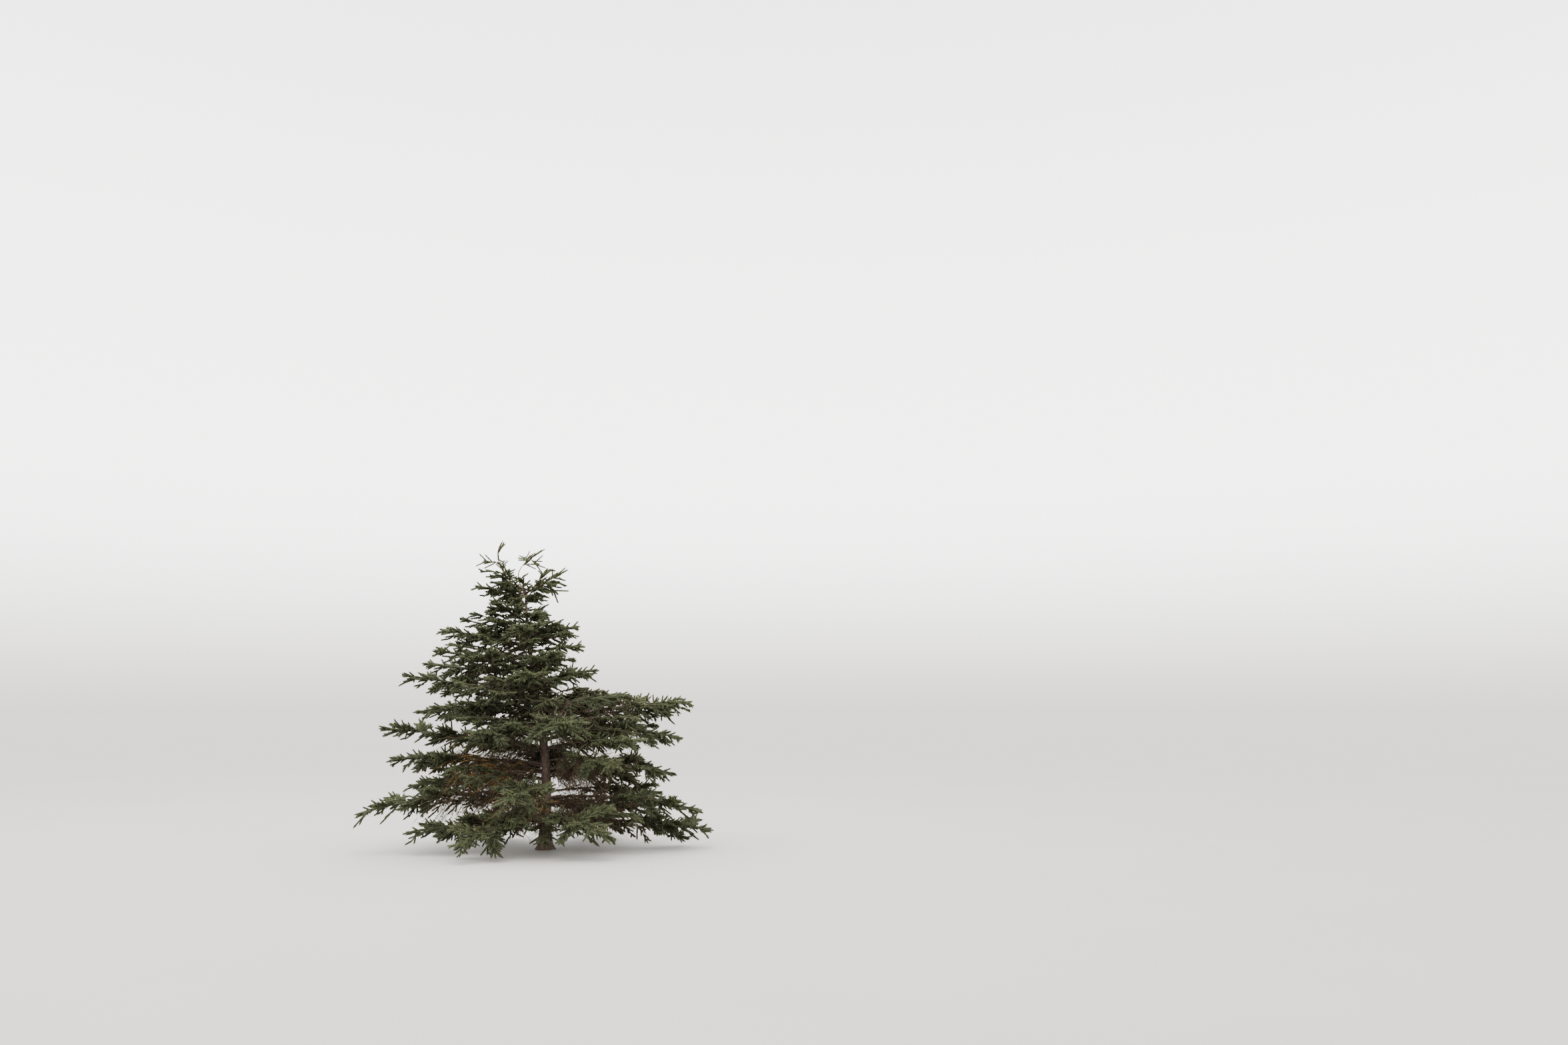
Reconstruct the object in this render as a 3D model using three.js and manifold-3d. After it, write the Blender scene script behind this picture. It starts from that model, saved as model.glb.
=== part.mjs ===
// A young spruce, three and a half metres tall, that has grown wide and low in an open, windy field.
// The trunk leans as it rises and forks into three leaders. Round it stand tiers of boughs, each a
// tapering limb that ends where a flat fan of needle sprays begins. Millimetres, +Z up. The origin
// is the middle of the flat cut under the trunk, -Y is the side seen in the photograph, +X its right.
import * as THREE from "three";
import { mergeVertices } from "three/addons/utils/BufferGeometryUtils.js";
import Module from "manifold-3d";

const wasm = await Module();
wasm.setup();

// Clearances between solids that stand on or beside each other.
const SEAT_GAP = 0.3;
const SPRAY_GAP = 14;
const GROUND_GAP = 12;

const TRUNK = {
  forkHeight: 2880,
  footRadius: 86,
  forkRadius: 11,
  taper: 1.02,
  flare: 40,
  flareHeight: 95,
  buttresses: 5,
  buttressDepth: 0.3,
  lean: -290,
  leanStart: 600,
  leanRise: 2300,
  bow: 50,
  sides: 14,
  rings: 15,
};

// Thickness is a limb's radius at the trunk as a share of its length, and its collar is where it
// swells into the trunk.
const LIMB = {
  sides: 5,
  rings: 3,
  thickness: 0.0082,
  leastRadius: 7,
  tipRadius: 3.5,
  collar: 0.3,
  collarLength: 55,
  sideBend: 0.05,
};

// The stem of a mass of foliage: four-sided, thickened where needles coat it, in stretches that each
// carry one spray and three teeth, then a last few that carry teeth all round. The coat and the teeth
// thin out towards the bough's tip, and a tooth is a share of the bough's spread.
const STEM = {
  stretch: 200,
  fewest: 3,
  most: 6,
  lastStretches: 2,
  limbGap: 0.04,
  leafyEnd: 0.94,
  bareWidth: 0.8,
  coat: 30,
  coatFade: 1.25,
  tooth: 0.27,
  toothFade: 1.36,
  toothUnevenness: 0.2,
};

// One needle spray: a four-sided branchlet whose side shoots are teeth, one on each side of every
// stretch. Widths, teeth, rise and droop are shares of the spray's length, and the angles are degrees
// from the stem's direction at its first and at its last spray.
const SPRAY = {
  stretches: 3,
  tipStretch: 0.8,
  firstAngle: 58,
  lastAngle: 44,
  angleUnevenness: 6,
  leastRise: 0.08,
  mostRise: 0.5,
  coreWidth: 0.1,
  coreHeight: 0.095,
  coreFade: 0.27,
  leastCore: 14,
  sideTooth: 0.28,
  upperTooth: 0.26,
  toothFade: 0.16,
  toothUnevenness: 0.22,
  leastTooth: 45,
  sweep: 0.65,
  droop: 0.12,
  shortened: [1, 0.85, 0.7, 0.55],
};

// What the seeded numbers are drawn for.
const DRAW = { bend: 1, angle: 5, length: 6, rise: 7, tooth: 10, stemTooth: 50 };

// The boughs, tier by tier from the ground. A bough leaves the trunk at a height and towards an azimuth,
// in degrees from +X towards +Y. Reach is the level distance to its tip and tip the height there, arch
// lifts its middle, and spread is the length of its longest side spray. Bare is the share of its length
// without needles, and LIMB_APART marks those that have that share as a solid of its own.
const LIMB_APART = true;
const BOUGHS = [
  // name, azimuth, height, reach, tip, arch, spread, bare
  ["low_right", 352, 300, 1900, 190, 60, 580, 0.42, LIMB_APART],
  ["low_back_right", 58, 330, 1650, 230, 60, 550, 0.38],
  ["low_back_left", 124, 290, 1560, 220, 60, 550, 0.38],
  ["low_left", 192, 300, 1500, 230, 50, 490, 0.4],
  ["low_front_left", 234, 380, 1520, 180, 60, 520, 0.4],
  ["low_front", 293, 400, 1500, 270, 70, 540, 0.42, LIMB_APART],
  ["skirt_left", 181, 600, 2060, 400, 110, 470, 0.42, LIMB_APART],
  ["skirt_front", 254, 700, 1400, 620, 60, 550, 0.42, LIMB_APART],
  ["skirt_right", 340, 560, 1790, 430, 70, 520, 0.42, LIMB_APART],
  ["skirt_back_right", 30, 620, 1560, 530, 60, 530, 0.38],
  ["skirt_back_left", 147, 660, 1900, 640, 60, 530, 0.4],
  ["waist_right", 6, 850, 1470, 770, 160, 460, 0.48, LIMB_APART],
  ["waist_front_right", 304, 960, 1300, 950, 60, 490, 0.42, LIMB_APART],
  ["waist_left", 179, 930, 1690, 1000, 40, 470, 0.42, LIMB_APART],
  ["waist_back", 92, 940, 1450, 930, 60, 540, 0.36],
  ["mid_left", 171, 1120, 1840, 1320, 30, 500, 0.4, LIMB_APART],
  ["mid_right", 350, 1180, 1570, 1200, 130, 480, 0.48, LIMB_APART],
  ["mid_front", 281, 1260, 1330, 1400, 50, 640, 0.42, LIMB_APART],
  ["mid_front_left", 236, 1180, 1330, 1300, 60, 490, 0.4],
  ["mid_front_right", 318, 1110, 1330, 1200, 40, 480, 0.38],
  ["mid_back_right", 44, 1200, 1480, 1290, 60, 530, 0.36],
  ["mid_back_left", 116, 1240, 1400, 1330, 60, 530, 0.36],
  ["broad_right", 0, 1400, 1720, 1620, 40, 590, 0.44, LIMB_APART],
  ["upper_back_left", 154, 1430, 1560, 1500, 60, 430, 0.34],
  ["upper_front_left", 206, 1450, 1300, 1560, 50, 490, 0.34],
  ["upper_back", 76, 1500, 1250, 1640, 60, 490, 0.32],
  ["shoulder_left", 184, 1660, 1480, 1910, 20, 460, 0.34, LIMB_APART],
  ["shoulder_back_right", 32, 1560, 1120, 1690, 60, 460, 0.32],
  ["shoulder_front", 262, 1740, 920, 1930, 30, 460, 0.28],
  ["shoulder_back", 118, 1740, 1080, 1900, 40, 460, 0.28],
  ["high_right", 8, 1850, 710, 1985, 20, 300, 0.34],
  ["high_back_left", 157, 1860, 1370, 2065, 20, 390, 0.3],
  ["high_front_left", 212, 1960, 1200, 2170, 20, 400, 0.28],
  ["high_front", 296, 1990, 620, 2160, 20, 320, 0.26],
  ["high_back", 82, 1980, 820, 2150, 20, 390, 0.26],
  ["crown_left", 183, 2260, 990, 2420, 10, 400, 0.24],
  ["crown_right", 352, 2320, 560, 2470, 20, 320, 0.24],
  ["crown_right_low", 330, 2190, 660, 2235, 10, 250, 0.26],
  ["crown_front", 258, 2290, 560, 2450, 10, 360, 0.24],
  ["crown_back", 92, 2300, 700, 2460, 20, 400, 0.24],
  ["top_left", 180, 2700, 570, 2925, 45, 320, 0.08],
  ["top_right", 350, 2540, 235, 2605, 10, 230, 0.08],
  ["top_front_left", 222, 2500, 520, 2740, 10, 300, 0.16],
].map(([name, azimuth, height, reach, tip, arch, spread, bare, limb = false]) => {
  return { name, azimuth, height, reach, tip, arch, spread, bare, limb, faces: [1, 3] };
});

// The three leaders above the fork: the points that steer each stem and its tip, from its root, and
// the faces of the stem that its sprays leave in turn, where 0 is the upper one and 1 to 3 go round.
const LEADERS = [
  {
    name: "leader_left",
    height: 2800,
    steer: [[-120, 0, 120], [-480, -30, 420]],
    tip: [-267, -20, 666],
    spread: 290,
    bare: 0.36,
    faces: [3, 1, 2, 2],
  },
  {
    name: "leader_middle",
    height: 2880,
    steer: [[-190, 20, 170], [-80, 40, 330]],
    tip: [190, 60, 490],
    spread: 190,
    bare: 0.58,
    faces: [2, 3, 2],
  },
  {
    name: "leader_right",
    height: 2790,
    steer: [[90, -30, 130], [220, -50, 200]],
    tip: [480, -60, 350],
    spread: 300,
    bare: 0.16,
    faces: [0, 1, 2, 3],
  },
];

const BARK = new THREE.MeshStandardMaterial({ color: 0x5c4a3d, roughness: 0.95, metalness: 0 });
const BOUGH_BARK = new THREE.MeshStandardMaterial({ color: 0x4a3b30, roughness: 0.95, metalness: 0 });
const NEEDLES = new THREE.MeshStandardMaterial({ color: 0x3d5240, roughness: 0.8, metalness: 0 });

const UP = new THREE.Vector3(0, 0, 1);

// A number from 0 to 1 that is always the same for the same bough, spray and purpose.
function chance(bough, spray, purpose) {
  const wave = Math.sin(bough * 127.1 + spray * 311.7 + purpose * 74.7) * 43758.5453;
  return wave - Math.floor(wave);
}

// The same as a number from -1 to 1.
function sway(bough, spray, purpose) {
  return 2 * chance(bough, spray, purpose) - 1;
}

// The middle of the trunk at a height: upright at the foot, then an S-curve towards the left.
function trunkCentre(height) {
  const leaning = THREE.MathUtils.smoothstep(height, TRUNK.leanStart, TRUNK.leanStart + TRUNK.leanRise);
  return new THREE.Vector3(TRUNK.lean * leaning, TRUNK.bow * (height / TRUNK.forkHeight) ** 2, height);
}

// The trunk's radius at a height, and at an angle round it, where the root flare has its buttresses.
function trunkRadius(height, angle) {
  const taper = (1 - Math.min(height / TRUNK.forkHeight, 1)) ** TRUNK.taper;
  const buttress = 1 + TRUNK.buttressDepth * Math.cos(TRUNK.buttresses * angle);
  const flare = TRUNK.flare * Math.exp(-height / TRUNK.flareHeight) * buttress;
  return TRUNK.forkRadius + (TRUNK.footRadius - TRUNK.flare / 2 - TRUNK.forkRadius) * taper + flare;
}

// A closed cylinder whose vertices go where place(along, angle, out) says: along runs from 0 at its
// foot to 1 at its tip, and out is 1 on its wall and 0 in the middle of an end.
function shapedCylinder(sides, rings, place) {
  const geometry = new THREE.CylinderGeometry(1, 1, 1, sides, rings);
  const position = geometry.getAttribute("position");
  for (let i = 0; i < position.count; i++) {
    const [x, y, z] = [position.getX(i), position.getY(i), position.getZ(i)];
    const point = place(y + 0.5, Math.atan2(-z, x), Math.hypot(x, z));
    position.setXYZ(i, point.x, point.y, point.z);
  }
  return geometry;
}

// The trunk, or with grow the same trunk a little fatter, to cut what meets it. Its rings crowd
// together towards the foot, where the flare bends most.
function trunkGeometry(grow = 0) {
  return shapedCylinder(TRUNK.sides, TRUNK.rings, (along, angle, out) => {
    const height = TRUNK.forkHeight * along ** 1.5;
    const radius = out * (trunkRadius(height, angle) + grow);
    const end = along === 1 ? grow : 0;
    return trunkCentre(height).add(
      new THREE.Vector3(radius * Math.cos(angle), radius * Math.sin(angle), end),
    );
  });
}

// A round limb that tapers along a stretch of a curve, from share start to share end.
function limbGeometry(curve, start, end) {
  return shapedCylinder(LIMB.sides, LIMB.rings, (along, angle, out) => {
    const share = start + (end - start) * along;
    const { side, lift } = frameAt(curve, share);
    const radius = out * limbRadius(curve, share);
    return curve
      .getPoint(share)
      .addScaledVector(side, radius * Math.cos(angle))
      .addScaledVector(lift, radius * Math.sin(angle));
  });
}

// The direction of a curve at a share of its length, with a level side on its left and a lift.
function frameAt(curve, share) {
  const forward = curve.getTangent(share);
  const side = new THREE.Vector3().crossVectors(UP, forward).normalize();
  const lift = new THREE.Vector3().crossVectors(forward, side);
  return { forward, side, lift };
}

// A bough's middle line: a Bezier curve from the trunk's middle to the bough's tip, arched upwards
// and swayed a little to one side.
function boughCurve(bough, index) {
  const root = trunkCentre(bough.height);
  const azimuth = THREE.MathUtils.degToRad(bough.azimuth);
  const outward = new THREE.Vector3(Math.cos(azimuth), Math.sin(azimuth), 0);
  const across = new THREE.Vector3(-outward.y, outward.x, 0);
  const tip = root.clone().addScaledVector(outward, bough.reach).setZ(bough.tip);
  const bend = across.multiplyScalar(LIMB.sideBend * bough.reach * sway(index, 0, DRAW.bend));
  const steer = [1 / 3, 2 / 3].map((share) =>
    root.clone().lerp(tip, share).addScaledVector(UP, (4 / 3) * bough.arch).add(bend),
  );
  return new THREE.CubicBezierCurve3(root, ...steer, tip);
}

// A leader's middle line, from its own steering points.
function leaderCurve(leader) {
  const root = trunkCentre(leader.height);
  const from = ([x, y, z]) => root.clone().add(new THREE.Vector3(x, y, z));
  return new THREE.CubicBezierCurve3(root, from(leader.steer[0]), from(leader.steer[1]), from(leader.tip));
}

// A limb's radius at a share of its length: a straight taper to the tip and a collar at the trunk.
function limbRadius(curve, share) {
  const length = curve.getLength();
  const root = Math.max(LIMB.leastRadius, LIMB.thickness * length);
  const collar = 1 + LIMB.collar * Math.exp((-share * length) / LIMB.collarLength);
  return LIMB.tipRadius + (root - LIMB.tipRadius) * (1 - share) * collar;
}

// The middle of some points.
function middleOf(points) {
  return points.reduce((sum, point) => sum.add(point), new THREE.Vector3()).divideScalar(points.length);
}

// A closed four-sided shoot through rings of four points each, which narrows to a tip. toothOn(k, row,
// corners) gives the tip of the tooth on one face between ring k and the next, or null where the face
// stays plain.
function shootGeometry(rings, tip, toothOn) {
  const points = [];
  const add = (point) => points.push(...point) / 3 - 1;
  const numbers = rings.map((ring) => ring.map(add));
  const first = numbers[0];
  const triangles = [first[0], first[2], first[1], first[0], first[3], first[2]];
  for (let k = 0; k + 1 < rings.length; k++) {
    for (let row = 0; row < 4; row++) {
      const next = (row + 1) % 4;
      const tooth = toothOn(k, row, [rings[k][row], rings[k][next], rings[k + 1][next], rings[k + 1][row]]);
      const [a, b, c, d] = [numbers[k][row], numbers[k][next], numbers[k + 1][next], numbers[k + 1][row]];
      if (tooth) {
        const top = add(tooth);
        triangles.push(a, b, top, b, c, top, c, d, top, d, a, top);
      } else {
        triangles.push(a, b, c, a, c, d);
      }
    }
  }
  const last = numbers.at(-1);
  const end = add(tip);
  for (let row = 0; row < 4; row++) triangles.push(last[row], last[(row + 1) % 4], end);
  const geometry = new THREE.BufferGeometry();
  geometry.setAttribute("position", new THREE.Float32BufferAttribute(points, 3));
  geometry.setIndex(triangles);
  return geometry;
}

// The tip of a tooth that stands on a face of a shoot, away from the shoot's middle and swept forward.
function toothTip(corners, middle, forward, reach) {
  const face = middleOf(corners);
  const outward = face.clone().sub(middle).projectOnPlane(forward).normalize();
  return face.addScaledVector(outward, reach).addScaledVector(forward, SPRAY.sweep * reach);
}

// A closed geometry as a solid that can be joined and cut.
function solidOf(geometry) {
  const bare = geometry.clone();
  for (const name of Object.keys(bare.attributes)) if (name !== "position") bare.deleteAttribute(name);
  const merged = mergeVertices(bare, 1e-3);
  const solid = new wasm.Manifold(
    new wasm.Mesh({
      numProp: 3,
      vertProperties: merged.getAttribute("position").array,
      triVerts: new Uint32Array(merged.index.array),
    }),
  );
  if (solid.volume() <= 0) throw new Error("a geometry is inside out");
  return solid;
}

// The largest body of a solid, without loose scraps or pockets sealed inside it.
function outerBody(solid) {
  return solid.decompose().reduce((largest, body) => (body.volume() > largest.volume() ? body : largest));
}

// A solid as a named mesh of the tree.
function meshOf(name, solid, material) {
  const { vertProperties, triVerts } = solid.getMesh();
  const geometry = new THREE.BufferGeometry();
  geometry.setAttribute("position", new THREE.Float32BufferAttribute(vertProperties, 3));
  geometry.setIndex(new THREE.Uint32BufferAttribute(triVerts, 1));
  geometry.computeVertexNormals();
  const mesh = new THREE.Mesh(geometry, material);
  mesh.name = name;
  return mesh;
}

// The shortest distance from a point to a bough's middle line, taken as short straight pieces.
const closest = new THREE.Vector3();
const piece = new THREE.Line3();
function distanceToLine(point, line) {
  let least = Infinity;
  for (let i = 0; i + 1 < line.length; i++) {
    piece.set(line[i], line[i + 1]).closestPointToPoint(point, true, closest);
    least = Math.min(least, closest.distanceTo(point));
  }
  return least;
}

const arms = [
  ...BOUGHS.map((bough, index) => ({ ...bough, index, curve: boughCurve(bough, index) })),
  ...LEADERS.map((leader, k) => ({ ...leader, index: BOUGHS.length + k, curve: leaderCurve(leader) })),
].map((arm) => ({ ...arm, line: arm.curve.getPoints(14), length: arm.curve.getLength() }));

// A spray keeps to its own space where each of its points is nearer its own bough than any other,
// clear of the trunk and above the ground.
function staysHome(points, home) {
  return points.every((point) => {
    const own = distanceToLine(point, home.line);
    const trunkGap =
      Math.hypot(...trunkCentre(point.z).sub(point).setZ(0).toArray()) - trunkRadius(point.z, 0);
    if (point.z < GROUND_GAP || (point.z < TRUNK.forkHeight && trunkGap < SPRAY_GAP)) return false;
    return arms.every((arm) => arm === home || distanceToLine(point, arm.line) > own + SPRAY_GAP);
  });
}

// One spray that grows from a face of an arm's stem and bends down towards its own tip, or null where
// it finds no space. frame is the stem's direction there, and the four corners are the face's.
function spray(arm, number, corners, frame, outward, length) {
  const { lerp, degToRad } = THREE.MathUtils;
  const angle = degToRad(
    lerp(SPRAY.firstAngle, SPRAY.lastAngle, number / STEM.most) +
      SPRAY.angleUnevenness * sway(arm.index, number, DRAW.angle),
  );
  const upOrDown = number % 4 < 2 ? 1 : -1;
  const rise = lerp(SPRAY.leastRise, SPRAY.mostRise, chance(arm.index, number, DRAW.rise));
  const out = frame.forward
    .clone()
    .multiplyScalar(Math.cos(angle))
    .addScaledVector(outward, Math.sin(angle))
    .addScaledVector(frame.lift, upOrDown * rise)
    .normalize();
  const across = frame.forward.clone().projectOnPlane(out).normalize();
  const above = new THREE.Vector3().crossVectors(out, across);
  const root = middleOf(corners);
  const signs = corners.map((corner) => {
    const from = corner.clone().sub(root);
    return [Math.sign(from.dot(across)), Math.sign(from.dot(above))];
  });
  for (const shorter of SPRAY.shortened) {
    const reach = length * shorter;
    const pitch = reach / (SPRAY.stretches + SPRAY.tipStretch);
    const middleAt = (far) =>
      root.clone().addScaledVector(out, far).addScaledVector(UP, (-SPRAY.droop * far ** 2) / reach);
    const coreRings = Array.from({ length: SPRAY.stretches }, (_, k) => {
      const width = Math.max(SPRAY.leastCore, SPRAY.coreWidth * reach * (1 - SPRAY.coreFade * k));
      const height = (width * SPRAY.coreHeight) / SPRAY.coreWidth;
      return signs.map(([a, b]) =>
        middleAt(pitch * (k + 1)).addScaledVector(across, a * width).addScaledVector(above, b * height),
      );
    });
    const teeth = [];
    const toothOn = (k, row, face) => {
      const middle = middleAt(pitch * (k + 0.5));
      const toFace = middleOf(face).sub(middle);
      const level = Math.abs(toFace.dot(across)) > Math.abs(toFace.dot(above));
      const share = (level ? SPRAY.sideTooth : SPRAY.upperTooth) * (1 - SPRAY.toothFade * k);
      const uneven = SPRAY.toothUnevenness * sway(arm.index, number, DRAW.tooth + 4 * k + row);
      teeth.push(toothTip(face, middle, out, Math.max(SPRAY.leastTooth, share * reach) * (1 + uneven)));
      return teeth.at(-1);
    };
    const tip = middleAt(reach);
    const geometry = shootGeometry([corners, ...coreRings], tip, toothOn);
    if (staysHome([...coreRings.flat(), ...teeth, tip], arm)) return solidOf(geometry);
  }
  return null;
}

// The length of the sprays along a stem, as a share of the longest: short at first, longest before the
// middle and short again towards the tip.
function fullness(along) {
  const swelling = 0.55 + 0.45 * Math.sin(Math.PI * (0.2 + 0.6 * along));
  return swelling * (1 - 0.35 * along);
}

// A mass of foliage: the outer stretch of a bough as its stem, with a spray on every stretch of it,
// left and right by turns on a bough and all round on a leader, and teeth on its other faces.
function foliage(arm) {
  const leafy = (1 - arm.bare) * arm.length;
  const count = THREE.MathUtils.clamp(Math.round(leafy / STEM.stretch), STEM.fewest, STEM.most);
  const stretches = count + STEM.lastStretches;
  const bareShares = arm.limb ? [arm.bare + SEAT_GAP / arm.length] : [0, 0.5 * arm.bare];
  const from = arm.limb ? arm.bare + STEM.limbGap : arm.bare;
  const leafyShares = Array.from({ length: stretches + 1 }, (_, k) =>
    THREE.MathUtils.lerp(from, STEM.leafyEnd, k / stretches),
  );
  const shares = [...bareShares, ...leafyShares];
  const rings = shares.map((share, k) => {
    const { side, lift } = frameAt(arm.curve, share);
    const limb = STEM.bareWidth * limbRadius(arm.curve, share);
    const coat = STEM.coat * (STEM.coatFade - share);
    const half = k < bareShares.length ? limb : Math.max(limb, coat);
    return [[1, 1], [-1, 1], [-1, -1], [1, -1]].map(([a, b]) =>
      arm.curve.getPoint(share).addScaledVector(side, a * half).addScaledVector(lift, b * half),
    );
  });
  const sprays = [];
  const toothOn = (k, row, corners) => {
    const number = k - bareShares.length;
    if (number < 0) return null;
    const share = 0.5 * (shares[k] + shares[k + 1]);
    const frame = frameAt(arm.curve, share);
    const middle = arm.curve.getPoint(share);
    const face = arm.faces[number % arm.faces.length];
    if (row === face && number < count) {
      const outward = middleOf(corners).sub(middle).projectOnPlane(frame.forward).normalize();
      const uneven = 1 + 0.1 * sway(arm.index, number, DRAW.length);
      const length = arm.spread * fullness((number + 0.5) / count) * uneven;
      const grown = spray(arm, number, corners, frame, outward, length);
      if (grown) {
        sprays.push(grown);
        return null;
      }
    }
    const uneven = STEM.toothUnevenness * sway(arm.index, number, DRAW.stemTooth + row);
    const reach = STEM.tooth * arm.spread * (STEM.toothFade - share) * (1 + uneven);
    const tooth = toothTip(corners, middle, frame.forward, reach);
    return staysHome([tooth], arm) ? tooth : null;
  };
  const stem = solidOf(shootGeometry(rings, arm.curve.getPoint(1), toothOn));
  return outerBody(wasm.Manifold.union([arm.limb ? stem : stem.subtract(fatTrunk), ...sprays]));
}

const fatTrunk = solidOf(trunkGeometry(SEAT_GAP));

const tree = new THREE.Group();
tree.add(meshOf("trunk", solidOf(trunkGeometry()), BARK));
for (const arm of arms) {
  if (arm.limb) {
    const limb = solidOf(limbGeometry(arm.curve, 0, arm.bare));
    tree.add(meshOf(`bough_${arm.name}`, limb.subtract(fatTrunk), BOUGH_BARK));
  }
  tree.add(meshOf(`foliage_${arm.name}`, foliage(arm), NEEDLES));
}

export default tree;
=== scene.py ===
"""Bark, twigs and needles of a young spruce that grows wide and low, in metres and degrees."""

import math

import bpy
import numpy as np
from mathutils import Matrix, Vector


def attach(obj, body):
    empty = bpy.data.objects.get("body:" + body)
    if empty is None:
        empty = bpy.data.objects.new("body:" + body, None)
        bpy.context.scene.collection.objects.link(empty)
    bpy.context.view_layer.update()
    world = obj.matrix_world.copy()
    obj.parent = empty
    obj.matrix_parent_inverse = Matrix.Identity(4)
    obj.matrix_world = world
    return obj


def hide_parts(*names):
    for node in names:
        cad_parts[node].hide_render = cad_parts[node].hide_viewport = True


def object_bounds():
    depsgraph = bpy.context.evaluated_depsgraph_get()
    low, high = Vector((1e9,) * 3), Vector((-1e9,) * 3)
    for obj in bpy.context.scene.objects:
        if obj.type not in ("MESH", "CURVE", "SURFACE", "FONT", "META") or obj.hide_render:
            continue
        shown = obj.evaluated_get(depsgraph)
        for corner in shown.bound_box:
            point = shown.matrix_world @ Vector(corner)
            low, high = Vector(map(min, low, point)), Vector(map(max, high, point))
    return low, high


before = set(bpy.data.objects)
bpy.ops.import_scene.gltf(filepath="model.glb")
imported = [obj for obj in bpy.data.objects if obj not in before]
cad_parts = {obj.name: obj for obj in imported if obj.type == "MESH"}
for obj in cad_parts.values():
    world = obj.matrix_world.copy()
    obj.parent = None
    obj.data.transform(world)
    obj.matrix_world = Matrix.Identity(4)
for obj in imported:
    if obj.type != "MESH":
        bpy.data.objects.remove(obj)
solid_box = [list(corner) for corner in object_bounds()]

# Trunk
# One stem of spruce wood under thin grey-brown bark that comes off in flakes. It leans as it rises,
# flares into low buttresses at the ground, and has a faint swelling at each year's ring of boughs.
FORK_HEIGHT = 2.88
FOOT_RADIUS = 0.086
FORK_RADIUS = 0.011
TRUNK_TAPER = 1.02
FLARE = 0.04
FLARE_HEIGHT = 0.095
BUTTRESSES = 5
BUTTRESS_DEPTH = 0.3
LEAN = -0.29
LEAN_START = 0.6
LEAN_RISE = 2.3
BOW = 0.05
YEAR_RINGS = 11
YEAR_SWELLING = 0.07
YEAR_SHARPNESS = 8
TRUNK_TIP = 0.012
TRUNK_TIP_WIDTH = 0.4
TRUNK_ROWS = 430
TRUNK_ROWS_CROWDED = 1.15
TRUNK_SIDES = 84
HASH = (127.1, 311.7, 74.7)
HASH_SCALE = 43758.5453
RELIEF_SHARES = (0.6, 0.4)
RELIEF_FINER = 0.45
FLAKE_SIZE = np.array([0.016, 0.016, 0.027])
FLAKE_DEPTH = 0.0028
KNOB_SIZE = 0.06
KNOB_DEPTH = 0.004
FLAKE_STRETCH = (1, 1, 0.55)
FLAKE_EDGE = (0.75, 0.15)
GRAIN_PER_METRE = 260
LICHEN_SPOTS_PER_METRE = 42
DARK_STRETCHES_PER_METRE = 5
LICHEN = (0.210, 0.205, 0.160, 1)
TRUNK_BARK = dict(
    light=(0.250, 0.185, 0.142, 1), dark=(0.072, 0.050, 0.038, 1), flakes=42, cover=0.75, bump=0.004
)
BARK_INPUTS = ["Light", "Dark", "Lichen", "Flakes per metre", "Lichen cover"]


def lerp(low, high, share):
    """The number a share of the way from low to high."""
    return low + (high - low) * share


def turned(angle, first, second):
    """The first direction turned by an angle towards the second, which is square to it."""
    return np.cos(angle) * first + np.sin(angle) * second


def value_noise(points, seed):
    """Smooth random numbers from -1 to 1: each corner of a unit lattice gets a hashed number, and the
    eight round a point are blended by the smooth step 3t2 - 2t3 along each axis."""
    cell = np.floor(points)
    blend = points - cell
    blend = blend * blend * (3 - 2 * blend)
    total = 0
    for corner in np.ndindex(2, 2, 2):
        wave = np.sin((cell + corner) @ HASH + seed) * HASH_SCALE
        weight = np.prod(np.where(np.array(corner) == 1, blend, 1 - blend), axis=-1)
        total = total + weight * (wave - np.floor(wave))
    return 2 * total - 1


def trunk_centre(height):
    """The trunk's middle at each height: a smooth step sideways for the lean and a square for the bow."""
    height = np.asarray(height, float)
    rise = np.clip((height - LEAN_START) / LEAN_RISE, 0, 1)
    lean = LEAN * rise * rise * (3 - 2 * rise)
    return np.stack([lean, BOW * (height / FORK_HEIGHT) ** 2, height], axis=-1)


def trunk_radius(height, angle):
    """The trunk's radius: a power of the height left to the fork, and a flare that dies away upwards
    and waves with the angle into buttresses."""
    taper = (1 - np.minimum(height / FORK_HEIGHT, 1)) ** TRUNK_TAPER
    buttress = 1 + BUTTRESS_DEPTH * np.cos(BUTTRESSES * angle)
    flare = FLARE * np.exp(-height / FLARE_HEIGHT) * buttress
    return FORK_RADIUS + (FOOT_RADIUS - FLARE / 2 - FORK_RADIUS) * taper + flare


def bark_relief(points, flake, depth):
    """How far bark stands out: the steep edges of a noise of the flakes' size, and a finer noise."""
    edges = 1 - np.abs(value_noise(points / flake, seed=3.1)) * 2
    finer = value_noise(points / (RELIEF_FINER * flake), seed=5.7)
    return depth * (RELIEF_SHARES[0] * edges + RELIEF_SHARES[1] * finer)


def rounded_end(share):
    """A width from 0 to 1 along a quarter of a circle."""
    return np.sqrt(1 - (1 - np.clip(share, 0, 1)) ** 2)


def rings_of(centres, sides, lifts, radii):
    """Rings of points: ring k is centre k plus its radii times its side turned towards its lift."""
    angles = np.linspace(0, 2 * np.pi, radii.shape[1], endpoint=False)[:, None]
    return centres[:, None] + radii[..., None] * turned(angles, sides[:, None], lifts[:, None])


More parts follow.
